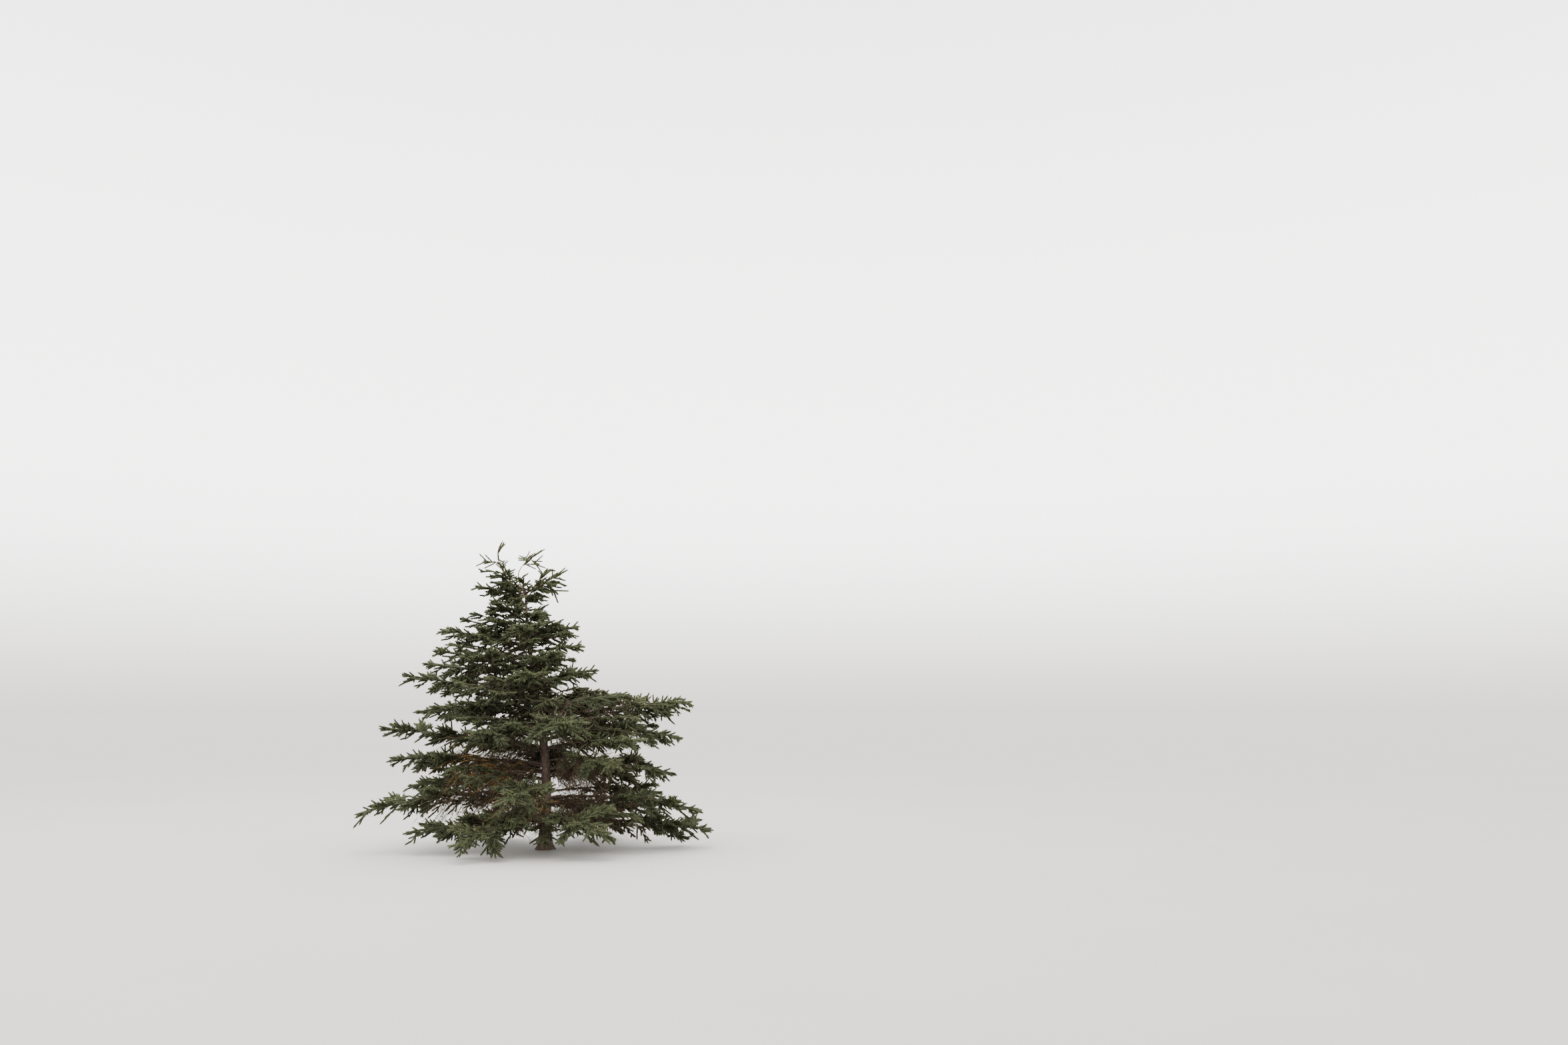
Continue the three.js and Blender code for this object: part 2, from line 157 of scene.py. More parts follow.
def tube_triangles(rings, around):
    """The triangles of a closed tube: two for each square of its wall, and a fan at each end to the
    two points that follow the wall's."""
    here = np.arange(around)
    there = (here + 1) % around
    lower = np.arange(rings - 1)[:, None] * around
    upper = lower + around
    top = (rings - 1) * around
    ends = np.full(around, rings * around)
    squares = [(lower + here, lower + there, upper + there), (lower + here, upper + there, upper + here)]
    fans = [(there, here, ends), (top + here, top + there, ends + 1)]
    return np.vstack([np.stack(corners, axis=-1).reshape(-1, 3) for corners in squares + fans])


def tube(centres, sides, lifts, radii):
    """A closed tube through rings of the given radii, as vertices and triangles."""
    wall = rings_of(centres, sides, lifts, radii)
    return np.vstack([wall.reshape(-1, 3), centres[:1], centres[-1:]]), tube_triangles(*radii.shape)


def joined(parts):
    """Several lots of vertices and triangles as one."""
    starts = np.cumsum([0] + [len(vertices) for vertices, _ in parts[:-1]])
    return (
        np.vstack([vertices for vertices, _ in parts]),
        np.vstack([triangles + start for (_, triangles), start in zip(parts, starts)]),
    )


def add_object(name, data):
    """A new object in the scene."""
    made = bpy.data.objects.new(name, data)
    bpy.context.collection.objects.link(made)
    return made


def add_piece(name, shape, material, nodes=(), smooth=True):
    """A mesh of vertices and triangles as a piece of the tree, in place of some of its solids."""
    vertices, triangles = shape
    mesh = bpy.data.meshes.new(name)
    mesh.vertices.add(len(vertices))
    mesh.vertices.foreach_set("co", np.ascontiguousarray(vertices, np.float32).ravel())
    mesh.loops.add(triangles.size)
    mesh.loops.foreach_set("vertex_index", np.ascontiguousarray(triangles, np.int32).ravel())
    mesh.polygons.add(len(triangles))
    mesh.polygons.foreach_set("loop_start", np.arange(0, triangles.size, 3, dtype=np.int32))
    mesh.polygons.foreach_set("use_smooth", np.full(len(triangles), smooth))
    mesh.update(calc_edges=True)
    mesh.materials.append(material)
    piece = add_object(name, mesh)
    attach(piece, "root")
    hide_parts(*nodes)
    return piece


def add_node(tree, kind, inputs, **settings):
    """Adds a node with its settings, and with each input set to a value or linked to another node's
    output. Gives back its outputs."""
    made = tree.nodes.new(kind)
    for name, value in settings.items():
        setattr(made, name, value)
    for socket, value in inputs.items():
        if isinstance(value, bpy.types.NodeSocket):
            tree.links.new(value, made.inputs[socket])
        else:
            made.inputs[socket].default_value = value
    return made.outputs


def mixed(tree, share, first, second):
    """A colour from first to second by share."""
    return add_node(tree, "ShaderNodeMix", {0: share, 6: first, 7: second}, data_type="RGBA")[2]


def multiplied(tree, first, second):
    """The product of two values."""
    return add_node(tree, "ShaderNodeMath", {0: first, 1: second}, operation="MULTIPLY")[0]


def stepped(tree, value, low, high):
    """A value as a mask that rises from 0 at low to 1 at high."""
    inputs = {"Value": value, "From Min": low, "From Max": high}
    return add_node(tree, "ShaderNodeMapRange", inputs, interpolation_type="SMOOTHSTEP")[0]


def ranged(tree, share, start, end):
    """A value from start to end by share."""
    return add_node(tree, "ShaderNodeMapRange", {"Value": share, "To Min": start, "To Max": end})[0]


def noise(tree, place, scale, detail):
    """Smooth noise from 0 to 1, with scale waves to a metre."""
    return add_node(tree, "ShaderNodeTexNoise", {"Vector": place, "Scale": scale, "Detail": detail})[0]


def bumped(tree, height, strength, depth):
    """The direction that a surface with this height faces."""
    return add_node(tree, "ShaderNodeBump", {"Height": height, "Strength": strength, "Distance": depth})[0]


def own_place(tree):
    """The place on the tree itself."""
    return add_node(tree, "ShaderNodeTexCoord", {})["Object"]


def new_group(name, inputs, outputs):
    """A shader node group with named colours and values, and what is given to it."""
    group = bpy.data.node_groups.new(name, "ShaderNodeTree")
    for way, sockets in (("INPUT", inputs), ("OUTPUT", outputs)):
        for socket, kind in sockets.items():
            group.interface.new_socket(socket, in_out=way, socket_type=f"NodeSocket{kind}")
    return group, add_node(group, "NodeGroupInput", {})


def bark_group():
    """Flaking bark: cells are flakes, light in the middle and dark at the edge, with lichen in spots."""
    group, given = new_group(
        "flaking_bark",
        dict(zip(BARK_INPUTS, ["Color"] * 3 + ["Float"] * 2)),
        {"Color": "Color", "Roughness": "Float", "Height": "Float"},
    )
    place = own_place(group)
    tall = add_node(group, "ShaderNodeMapping", {"Vector": place, "Scale": FLAKE_STRETCH})[0]
    flakes = {"Vector": tall, "Scale": given["Flakes per metre"], "Randomness": 0.9}
    edge = stepped(group, add_node(group, "ShaderNodeTexVoronoi", flakes)["Distance"], *FLAKE_EDGE)
    grain = noise(group, tall, GRAIN_PER_METRE, detail=6)
    worn = multiplied(group, edge, stepped(group, grain, low=0.35, high=0.7))
    bark = mixed(group, worn, given["Dark"], given["Light"])
    stretches = stepped(group, noise(group, place, DARK_STRETCHES_PER_METRE, detail=2), low=0.35, high=0.75)
    bark = mixed(group, stretches, bark, given["Dark"])
    spots = stepped(group, noise(group, place, LICHEN_SPOTS_PER_METRE, detail=5), low=0.58, high=0.78)
    out = {
        "Color": mixed(group, multiplied(group, spots, given["Lichen cover"]), bark, given["Lichen"]),
        "Roughness": ranged(group, grain, start=0.78, end=0.98),
        "Height": add_node(group, "ShaderNodeMath", {0: edge, 1: grain}, operation="ADD")[0],
    }
    add_node(group, "NodeGroupOutput", out)
    return group


def bark_paint(tree, light, dark, flakes, cover, bump, lichen=LICHEN):
    """Bark in the given colours, with flakes to a metre, a share of lichen and a depth of bump."""
    values = dict(zip(BARK_INPUTS, (light, dark, lichen, flakes, cover)))
    bark = add_node(tree, "ShaderNodeGroup", values, node_tree=flaking_bark)
    return {
        "Base Color": bark["Color"],
        "Roughness": bark["Roughness"],
        "Normal": bumped(tree, bark["Height"], strength=0.6, depth=bump),
        "Specular IOR Level": 0.25,
    }


def add_material(name, paint, **values):
    """A material whose surface shader takes the inputs that paint works out in its node tree."""
    material = bpy.data.materials.new(name)
    material.use_nodes = True
    tree = material.node_tree
    tree.nodes.clear()
    surface = add_node(tree, "ShaderNodeBsdfPrincipled", paint(tree, **values))[0]
    add_node(tree, "ShaderNodeOutputMaterial", {"Surface": surface})
    return material


def trunk_shape():
    """The trunk as a tube whose rings crowd together towards the flare, with relief on its wall."""
    heights = FORK_HEIGHT * np.linspace(0, 1, TRUNK_ROWS) ** TRUNK_ROWS_CROWDED
    angles = np.linspace(0, 2 * np.pi, TRUNK_SIDES, endpoint=False)
    smooth = trunk_radius(heights[:, None], angles)
    rows = np.ones((TRUNK_ROWS, 1))
    middle = (trunk_centre(heights), rows * [1, 0, 0], rows * [0, 1, 0])
    wall = rings_of(*middle, smooth)
    year = np.cos(2 * np.pi * YEAR_RINGS * heights / FORK_HEIGHT)[:, None] ** YEAR_SHARPNESS
    slim = np.minimum(smooth / FOOT_RADIUS, 1)
    knobs = KNOB_DEPTH * value_noise(wall / KNOB_SIZE, seed=9.3)
    relief = bark_relief(wall, FLAKE_SIZE, FLAKE_DEPTH) + knobs
    dome = lerp(TRUNK_TIP_WIDTH, 1, rounded_end((FORK_HEIGHT - heights) / TRUNK_TIP)[:, None])
    return tube(*middle, (smooth * (1 + YEAR_SWELLING * year) + relief * slim) * dome)


flaking_bark = bark_group()
trunk_bark = add_material("trunk_bark", bark_paint, **TRUNK_BARK)
add_piece("trunk_bark", trunk_shape(), trunk_bark, ["trunk"])

# Boughs
# Tapering limbs that stand round the trunk in tiers. Each is arched by its own weight and by its
# growing tip, swells into the trunk in a collar, and has darker and finer bark than the trunk.
LIMB_APART = True
BOUGHS = [
    # name, direction, height, reach, tip, arch, spread, bare share, a limb of its own in the solids
    ("low_right", 352, 0.30, 1.90, 0.19, 0.06, 0.58, 0.42, LIMB_APART),
    ("low_back_right", 58, 0.33, 1.65, 0.23, 0.06, 0.55, 0.38),
    ("low_back_left", 124, 0.29, 1.56, 0.22, 0.06, 0.55, 0.38),
    ("low_left", 192, 0.30, 1.50, 0.23, 0.05, 0.49, 0.40),
    ("low_front_left", 234, 0.38, 1.52, 0.18, 0.06, 0.52, 0.40),
    ("low_front", 293, 0.40, 1.50, 0.27, 0.07, 0.54, 0.42, LIMB_APART),
    ("skirt_left", 181, 0.60, 2.06, 0.40, 0.11, 0.47, 0.42, LIMB_APART),
    ("skirt_front", 254, 0.70, 1.40, 0.62, 0.06, 0.55, 0.42, LIMB_APART),
    ("skirt_right", 340, 0.56, 1.79, 0.43, 0.07, 0.52, 0.42, LIMB_APART),
    ("skirt_back_right", 30, 0.62, 1.56, 0.53, 0.06, 0.53, 0.38),
    ("skirt_back_left", 147, 0.66, 1.90, 0.64, 0.06, 0.53, 0.40),
    ("waist_right", 6, 0.85, 1.47, 0.77, 0.16, 0.46, 0.48, LIMB_APART),
    ("waist_front_right", 304, 0.96, 1.30, 0.95, 0.06, 0.49, 0.42, LIMB_APART),
    ("waist_left", 179, 0.93, 1.69, 1.00, 0.04, 0.47, 0.42, LIMB_APART),
    ("waist_back", 92, 0.94, 1.45, 0.93, 0.06, 0.54, 0.36),
    ("mid_left", 171, 1.12, 1.84, 1.32, 0.03, 0.50, 0.40, LIMB_APART),
    ("mid_right", 350, 1.18, 1.57, 1.20, 0.13, 0.48, 0.48, LIMB_APART),
    ("mid_front", 281, 1.26, 1.33, 1.40, 0.05, 0.64, 0.42, LIMB_APART),
    ("mid_front_left", 236, 1.18, 1.33, 1.30, 0.06, 0.49, 0.40),
    ("mid_front_right", 318, 1.11, 1.33, 1.20, 0.04, 0.48, 0.38),
    ("mid_back_right", 44, 1.20, 1.48, 1.29, 0.06, 0.53, 0.36),
    ("mid_back_left", 116, 1.24, 1.40, 1.33, 0.06, 0.53, 0.36),
    ("broad_right", 0, 1.40, 1.72, 1.62, 0.04, 0.59, 0.44, LIMB_APART),
    ("upper_back_left", 154, 1.43, 1.56, 1.50, 0.06, 0.43, 0.34),
    ("upper_front_left", 206, 1.45, 1.30, 1.56, 0.05, 0.49, 0.34),
    ("upper_back", 76, 1.50, 1.25, 1.64, 0.06, 0.49, 0.32),
    ("shoulder_left", 184, 1.66, 1.48, 1.91, 0.02, 0.46, 0.34, LIMB_APART),
    ("shoulder_back_right", 32, 1.56, 1.12, 1.69, 0.06, 0.46, 0.32),
    ("shoulder_front", 262, 1.74, 0.92, 1.93, 0.03, 0.46, 0.28),
    ("shoulder_back", 118, 1.74, 1.08, 1.90, 0.04, 0.46, 0.28),
    ("high_right", 8, 1.85, 0.71, 1.985, 0.02, 0.30, 0.34),
    ("high_back_left", 157, 1.86, 1.37, 2.065, 0.02, 0.39, 0.30),
    ("high_front_left", 212, 1.96, 1.20, 2.17, 0.02, 0.40, 0.28),
    ("high_front", 296, 1.99, 0.62, 2.16, 0.02, 0.32, 0.26),
    ("high_back", 82, 1.98, 0.82, 2.15, 0.02, 0.39, 0.26),
    ("crown_left", 183, 2.26, 0.99, 2.42, 0.01, 0.40, 0.24),
    ("crown_right", 352, 2.32, 0.56, 2.47, 0.02, 0.32, 0.24),
    ("crown_right_low", 330, 2.19, 0.66, 2.235, 0.01, 0.25, 0.26),
    ("crown_front", 258, 2.29, 0.56, 2.45, 0.01, 0.36, 0.24),
    ("crown_back", 92, 2.30, 0.70, 2.46, 0.02, 0.40, 0.24),
    ("top_left", 180, 2.70, 0.57, 2.925, 0.045, 0.32, 0.08),
    ("top_right", 350, 2.54, 0.235, 2.605, 0.01, 0.23, 0.08),
    ("top_front_left", 222, 2.50, 0.52, 2.74, 0.01, 0.30, 0.16),
]
BOUGH_FACES = [1, 3]
LEADERS = [
    # name, height, spread, bare share, faces that carry sprays, two steering points and the tip
    ("leader_left", 2.80, 0.29, 0.36, [3, 1, 2, 2],
     [[-0.12, 0, 0.12], [-0.48, -0.03, 0.42], [-0.267, -0.02, 0.666]]),
    ("leader_middle", 2.88, 0.19, 0.58, [2, 3, 2],
     [[-0.19, 0.02, 0.17], [-0.08, 0.04, 0.33], [0.19, 0.06, 0.49]]),
    ("leader_right", 2.79, 0.30, 0.16, [0, 1, 2, 3],
     [[0.09, -0.03, 0.13], [0.22, -0.05, 0.2], [0.48, -0.06, 0.35]]),
]
MINOR_TIERS = [
    # height between two tiers of boughs, minor boughs there, their share of the others' reach
    (0.30, 7, 0.56), (0.50, 8, 0.68), (0.80, 8, 0.70), (1.04, 8, 0.68), (1.30, 9, 0.70),
    (1.50, 8, 0.70), (1.70, 8, 0.70), (1.82, 7, 0.62), (1.98, 8, 0.72), (2.18, 8, 0.74),
    (2.40, 8, 0.76), (2.56, 6, 0.62), (2.76, 5, 0.50),
]
MINOR_FULL = [
    # height, direction and share of reach of single ones, where the crown is full
    (0.77, 14, 0.70), (0.80, 354, 0.60), (0.84, 170, 0.72), (0.86, 200, 0.62), (0.86, 342, 0.84),
    (0.90, 186, 0.74), (1.07, 194, 0.58), (1.10, 158, 0.66), (1.20, 332, 0.84), (1.24, 8, 0.82),
    (1.36, 3, 0.98), (1.42, 352, 0.94), (1.44, 12, 0.72), (1.50, 346, 0.74), (1.53, 16, 0.74),
    (1.56, 240, 0.80), (1.57, 196, 0.62), (1.58, 6, 0.64), (1.60, 172, 0.60), (1.62, 350, 0.52),
    (1.63, 222, 0.86), (2.06, 194, 0.84), (2.10, 172, 0.78), (2.27, 350, 0.90), (2.27, 20, 0.80),
    (2.30, 320, 0.90), (2.34, 206, 0.62), (2.36, 186, 0.86), (2.40, 160, 0.70), (2.40, 330, 0.80),
    (2.43, 204, 0.68), (2.68, 186, 0.42), (2.70, 160, 0.40),
]
MINOR_OPEN = [
    # direction and height of each opening in the crown, and how far it goes to each side
    (350, 2.12, 75, 0.12), (268, 0.92, 40, 0.17), (185, 2.56, 34, 0.10), (0, 1.80, 34, 0.12),
]
UPRIGHT = ("top_right_upright", 8, 2.84, 0.25, 3.16, -0.02, 0.14, 0.1)
MINOR_FIRST = 178
MINOR_HEIGHT_SWAY = 0.05
MINOR_TURN_SWAY = 14
MINOR_SHARE_SWAY = 0.14
NEAR_TURN = 45
NEAR_HEIGHT = 0.2
MINOR_BARE = 0.1
LENGTH_POINTS = 201
LINE_POINTS = 15
SIDE_BEND = 0.05
LIMB_THICKNESS = 0.0082
LIMB_LEAST_RADIUS = 0.007
LIMB_TIP_RADIUS = 0.0035
LIMB_COLLAR = 0.3
LIMB_COLLAR_LENGTH = 0.055
LIMB_SIDES = 9
LIMB_ROUNDING = 0.012
LIMB_ROUND_ROWS = [0, 0.15, 0.45]
LIMB_ROWS_PER_METRE = 44
LIMB_END = 0.985
LIMB_FLAKE = np.array([0.012, 0.012, 0.012])
LIMB_RELIEF = 0.14
BOUGH_BARK = dict(
    light=(0.185, 0.135, 0.098, 1), dark=(0.062, 0.044, 0.033, 1), flakes=85, cover=0.55, bump=0.002
)
LEADER_BARK = dict(
    light=(0.330, 0.185, 0.105, 1), dark=(0.140, 0.075, 0.045, 1), flakes=120, cover=0.1, bump=0.001
)
UP = np.array([0.0, 0.0, 1.0])


def unit(vectors):
    """Vectors made one long."""
    return vectors / np.linalg.norm(vectors, axis=-1, keepdims=True)


def chance(bough, spray, purpose):
    """A number from 0 to 1 that is always the same for the same bough, spray and purpose."""
    wave = np.sin(bough * HASH[0] + spray * HASH[1] + purpose * HASH[2]) * HASH_SCALE
    return wave - np.floor(wave)


def sway(bough, spray, purpose):
    """The same as a number from -1 to 1."""
    return 2 * chance(bough, spray, purpose) - 1


class Arm:
    """A bough or leader: a cubic Bezier curve from the trunk's middle, with what grows on it."""

    def __init__(self, index, name, control, spread, bare, faces=BOUGH_FACES, limb=False):
        self.index, self.name, self.control = index, name, np.array(control)
        self.spread, self.bare, self.faces, self.limb = spread, bare, faces, limb
        self.tier = name.split("_")[0]
        self.leader = self.tier == "leader"
        steps = np.diff(self.point(np.linspace(0, 1, LENGTH_POINTS)), axis=0)
        self.length = np.linalg.norm(steps, axis=1).sum()
        self.line = self.point(np.linspace(0, 1, LINE_POINTS))

    def point(self, share):
        """Points on the curve: the four control points weighted by the cubic Bernstein polynomials."""
        t = np.asarray(share, float)[..., None]
        weights = [(1 - t) ** 3, 3 * t * (1 - t) ** 2, 3 * t**2 * (1 - t), t**3]
        return sum(weight * point for weight, point in zip(weights, self.control))

    def frame(self, share):
        """The curve's direction, a level side on its left, and the lift across both."""
        t = np.asarray(share, float)[..., None]
        weights = [(1 - t) ** 2, 2 * t * (1 - t), t**2]
        forward = unit(sum(weight * step for weight, step in zip(weights, np.diff(self.control, axis=0))))
        side = unit(np.cross(UP, forward))
        return forward, side, np.cross(forward, side)

    def radius(self, share):
        """The limb's radius: a straight taper to the tip and a collar that dies away from the trunk."""
        share = np.asarray(share, float)
        root = max(LIMB_LEAST_RADIUS, LIMB_THICKNESS * self.length)
        collar = 1 + LIMB_COLLAR * np.exp(-share * self.length / LIMB_COLLAR_LENGTH)
        return LIMB_TIP_RADIUS + (root - LIMB_TIP_RADIUS) * (1 - share) * collar

    def shape(self):
        """The limb as a tube with a rounded root and flaking bark."""
        shares = np.linspace(0, LIMB_END, int(LIMB_ROWS_PER_METRE * self.length))
        shares = np.concatenate([np.array(LIMB_ROUND_ROWS) * shares[1], shares[1:]])
        middle = (self.point(shares), *self.frame(shares)[1:])
        rounded = self.radius(shares) * rounded_end(shares * self.length / LIMB_ROUNDING)
        smooth = rounded[:, None] * np.ones(LIMB_SIDES)
        wall = rings_of(*middle, smooth)
        return tube(*middle, smooth + bark_relief(wall, LIMB_FLAKE, LIMB_RELIEF * smooth))


def bough_arm(index, name, azimuth, height, reach, tip, arch, spread, bare, limb=False):
    """A bough's curve: steered by the points a third and two thirds of the way along, moved a little to
    one side, and raised by four thirds of the arch, so that its middle rises by the arch."""
    root = trunk_centre(height)
    azimuth = math.radians(azimuth)
    outward = np.array([math.cos(azimuth), math.sin(azimuth), 0])
    across = np.array([-outward[1], outward[0], 0])
    end = root + reach * outward
    end[2] = tip
    bend = SIDE_BEND * reach * sway(index, 0, 1) * across + 4 / 3 * arch * UP
    steer = [lerp(root, end, share) + bend for share in (1 / 3, 2 / 3)]
    return Arm(index, name, [root, *steer, end], spread, bare, limb=limb)


def leader_arm(index, name, height, spread, bare, faces, points):
    """A leader's curve, from its steering points and its tip, measured from its root."""
    root = trunk_centre(height)
    return Arm(index, name, [root, *(root + np.array(points))], spread, bare, faces)


def turn_between(azimuths, azimuth):
    """The turn from one direction to others in degrees, from -180 to 180."""
    return (azimuths - azimuth + 180) % 360 - 180


def in_an_opening(height, azimuth):
    """True where the crown is open between two tiers of boughs."""
    return any(
        abs(turn_between(open_azimuth, azimuth)) < open_turn and abs(open_height - height) < open_rise
        for open_azimuth, open_height, open_turn, open_rise in MINOR_OPEN
    )


def minor_places():
    """Height, direction and share of reach of each minor bough. Those of a tier stand evenly round the
    trunk, swayed a little, and none stands in an opening of the crown."""
    places = []
    for height, count, share in MINOR_TIERS:
        for place in range(count):
            swayed = height + MINOR_HEIGHT_SWAY * sway(len(places), 1, 2)
            azimuth = MINOR_FIRST + 360 * place / count + MINOR_TURN_SWAY * sway(len(places), 3, 2)
            places.append((swayed, azimuth % 360, share))
    return [place for place in places + MINOR_FULL if not in_an_opening(*place[:2])]


def minor_arm(number, height, azimuth, share):
    """A minor bough between the main ones. Its rise, reach and spread are those of the main boughs
    round it, weighted by how near they are, and then less."""
    rows = np.array([row[1:7] for row in BOUGHS])
    turn = turn_between(rows[:, 0], azimuth)
    nearness = np.exp(-((turn / NEAR_TURN) ** 2) - ((rows[:, 1] - height) / NEAR_HEIGHT) ** 2)
    _, root, reach, tip, arch, spread = nearness @ rows / nearness.sum()
    name = f"{BOUGHS[nearness.argmax()][0]}_minor_{number}"
    share = share * (1 + MINOR_SHARE_SWAY * sway(number, 2, 2))
    curve = (azimuth, height, share * reach, height + tip - root, arch)
    return bough_arm(len(main_arms) + number, name, *curve, share * spread, MINOR_BARE)


boughs = [bough_arm(index, *row) for index, row in enumerate(BOUGHS)]
leaders = [leader_arm(len(BOUGHS) + index, *row) for index, row in enumerate(LEADERS)]
main_arms = boughs + leaders
minor_boughs = [minor_arm(number, *place) for number, place in enumerate(minor_places())]
minor_boughs.append(bough_arm(len(main_arms) + len(minor_boughs), *UPRIGHT))
all_arms = main_arms + minor_boughs
bough_bark = add_material("bough_bark", bark_paint, **BOUGH_BARK)
leader_bark = add_material("leader_bark", bark_paint, **LEADER_BARK)
limb_nodes = [f"bough_{arm.name}" for arm in boughs if arm.limb]
bough_shapes = joined([arm.shape() for arm in boughs + minor_boughs])
add_piece("boughs", bough_shapes, bough_bark, limb_nodes)
add_piece("leaders", joined([arm.shape() for arm in leaders]), leader_bark)

# Side sprays
# Flat fans of twigs that leave each bough to the left and right by turns, closer to its direction
# the nearer they are to its tip. They are the same sprays, with the same reach, as in the solids.
SPRAY_GAP = 0.014
GROUND_GAP = 0.012
STEM_STRETCH = 0.2
STEM_FEWEST = 3
STEM_MOST = 6
STEM_LAST = 2
STEM_LIMB_GAP = 0.04
STEM_LEAFY_END = 0.94
STEM_BARE_WIDTH = 0.8
STEM_COAT = 0.03
STEM_COAT_FADE = 1.25
STEM_TOOTH = 0.27
STEM_TOOTH_FADE = 1.36
STEM_TOOTH_SWAY = 0.2
SPRAY_LEAST_FULL = 0.55
SPRAY_BULGE_FROM = 0.2
SPRAY_BULGE_BY = 0.6
SPRAY_SHORTENING = 0.35
SPRAY_LENGTH_SWAY = 0.1
SPRAY_ANGLES = (58, 44)
SPRAY_ANGLE_SWAY = 6
SPRAY_RISE = (0.08, 0.5)
SPRAY_RINGS = 3
SPRAY_PITCH = 1 / 3.8
SPRAY_WIDTH = 0.1
SPRAY_NARROWING = 0.27
SPRAY_LEAST_WIDTH = 0.014
SPRAY_FLATNESS = 0.95
TOOTH_LEVEL = 0.28
TOOTH_STEEP = 0.26
TOOTH_SHORTENING = 0.16
TOOTH_LEAST = 0.045
TOOTH_SWAY = 0.22
SWEEP = 0.65
DROOP = 0.12
SHORTENED = (1, 0.85, 0.7, 0.55)
CORNERS = np.array([[1, 1], [-1, 1], [-1, -1], [1, -1]])

straight_pieces = np.stack([np.stack([arm.line[:-1], arm.line[1:]], axis=1) for arm in main_arms])


def distances(points):
    """The distance from each point to each arm's middle line, taken as straight pieces."""
    start = straight_pieces[:, :, 0]
    step = straight_pieces[:, :, 1] - start
    away = points[:, None, None] - start
    share = np.clip(np.sum(away * step, axis=-1) / np.sum(step * step, axis=-1), 0, 1)
    return np.linalg.norm(away - share[..., None] * step, axis=-1).min(axis=-1)


def stays_home(points, home):
    """True where each point is nearer its own arm than any other, off the trunk and off the ground."""
    gaps = distances(points)
    others = np.delete(gaps, home.index, axis=1).min(axis=1)
    height = points[:, 2]
    beside_trunk = np.linalg.norm((trunk_centre(height) - points)[:, :2], axis=1)
    trunk_gap = np.where(height < FORK_HEIGHT, beside_trunk - trunk_radius(height, 0), SPRAY_GAP)
    off_others = others > gaps[:, home.index] + SPRAY_GAP
    return bool(np.all((height >= GROUND_GAP) & (trunk_gap >= SPRAY_GAP) & off_others))


def face_between(lower, upper, row):
    """The corners of one face between two rings of four points."""
    following = (row + 1) % 4
    return np.stack([lower[row], lower[following], upper[following], upper[row]])


def tooth_tip(corners, middle, forward, reach):
    """The tip of a tooth on a face: out from the face's middle and swept forward."""
    face = corners.mean(axis=0)
    outward = face - middle
    outward = unit(outward - outward @ forward * forward)
    return face + reach * (outward + SWEEP * forward), outward


def spray_point(root, out, reach, far):
    """The point so far along a spray's line, which droops with the square of the way."""
    return root + far * out - DROOP * far**2 / reach * UP


def grow_spray(arm, number, foot, corners, ways, outward, length):
    """A spray's middle line and its teeth, shortened until all its points stay home, or nothing. The
    line starts at its foot in the arm's middle, where the solid's starts on the face, and the middles
    of the teeth's stretches are moved to that line."""
    forward, _, lift = ways
    degrees = lerp(*SPRAY_ANGLES, number / STEM_MOST) + SPRAY_ANGLE_SWAY * sway(arm.index, number, 5)
    angle = math.radians(degrees)
    rise = lerp(*SPRAY_RISE, chance(arm.index, number, 7)) * (1 if number % 4 < 2 else -1)
    out = unit(math.cos(angle) * forward + math.sin(angle) * outward + rise * lift)
    across = unit(forward - forward @ out * out)
    above = np.cross(out, across)
    root = corners.mean(axis=0)
    signs = np.sign((corners - root) @ np.stack([across, above], axis=1))
    for shorter in SHORTENED:
        reach = length * shorter
        pitch = SPRAY_PITCH * reach
        rings = [corners]
        for k in range(SPRAY_RINGS):
            width = max(SPRAY_LEAST_WIDTH, SPRAY_WIDTH * reach * (1 - SPRAY_NARROWING * k))
            flat = (signs * [width, SPRAY_FLATNESS * width]) @ np.stack([across, above])
            rings.append(spray_point(root, out, reach, pitch * (k + 1)) + flat)
        teeth = []
        for k, row in np.ndindex(SPRAY_RINGS, 4):
            face = face_between(rings[k], rings[k + 1], row)
            middle = spray_point(root, out, reach, pitch * (k + 0.5))
            to_face = face.mean(axis=0) - middle
            level = abs(to_face @ across) > abs(to_face @ above)
            share = (TOOTH_LEVEL if level else TOOTH_STEEP) * (1 - TOOTH_SHORTENING * k)
            uneven = 1 + TOOTH_SWAY * sway(arm.index, number, 10 + 4 * k + row)
            tip, sideways = tooth_tip(face, middle, out, max(TOOTH_LEAST, share * reach) * uneven)
            middle = middle - (1 - (k + 0.5) * SPRAY_PITCH) * (root - foot)
            teeth.append((arm.index, middle, tip, out, sideways, pitch, level))
        tips = [tooth[2] for tooth in teeth]
        if stays_home(np.vstack([*rings[1:], tips, spray_point(root, out, reach, reach)]), arm):
            return [(foot, root + reach * out - foot, -DROOP * reach * UP, arm.index)], teeth
    return [], []


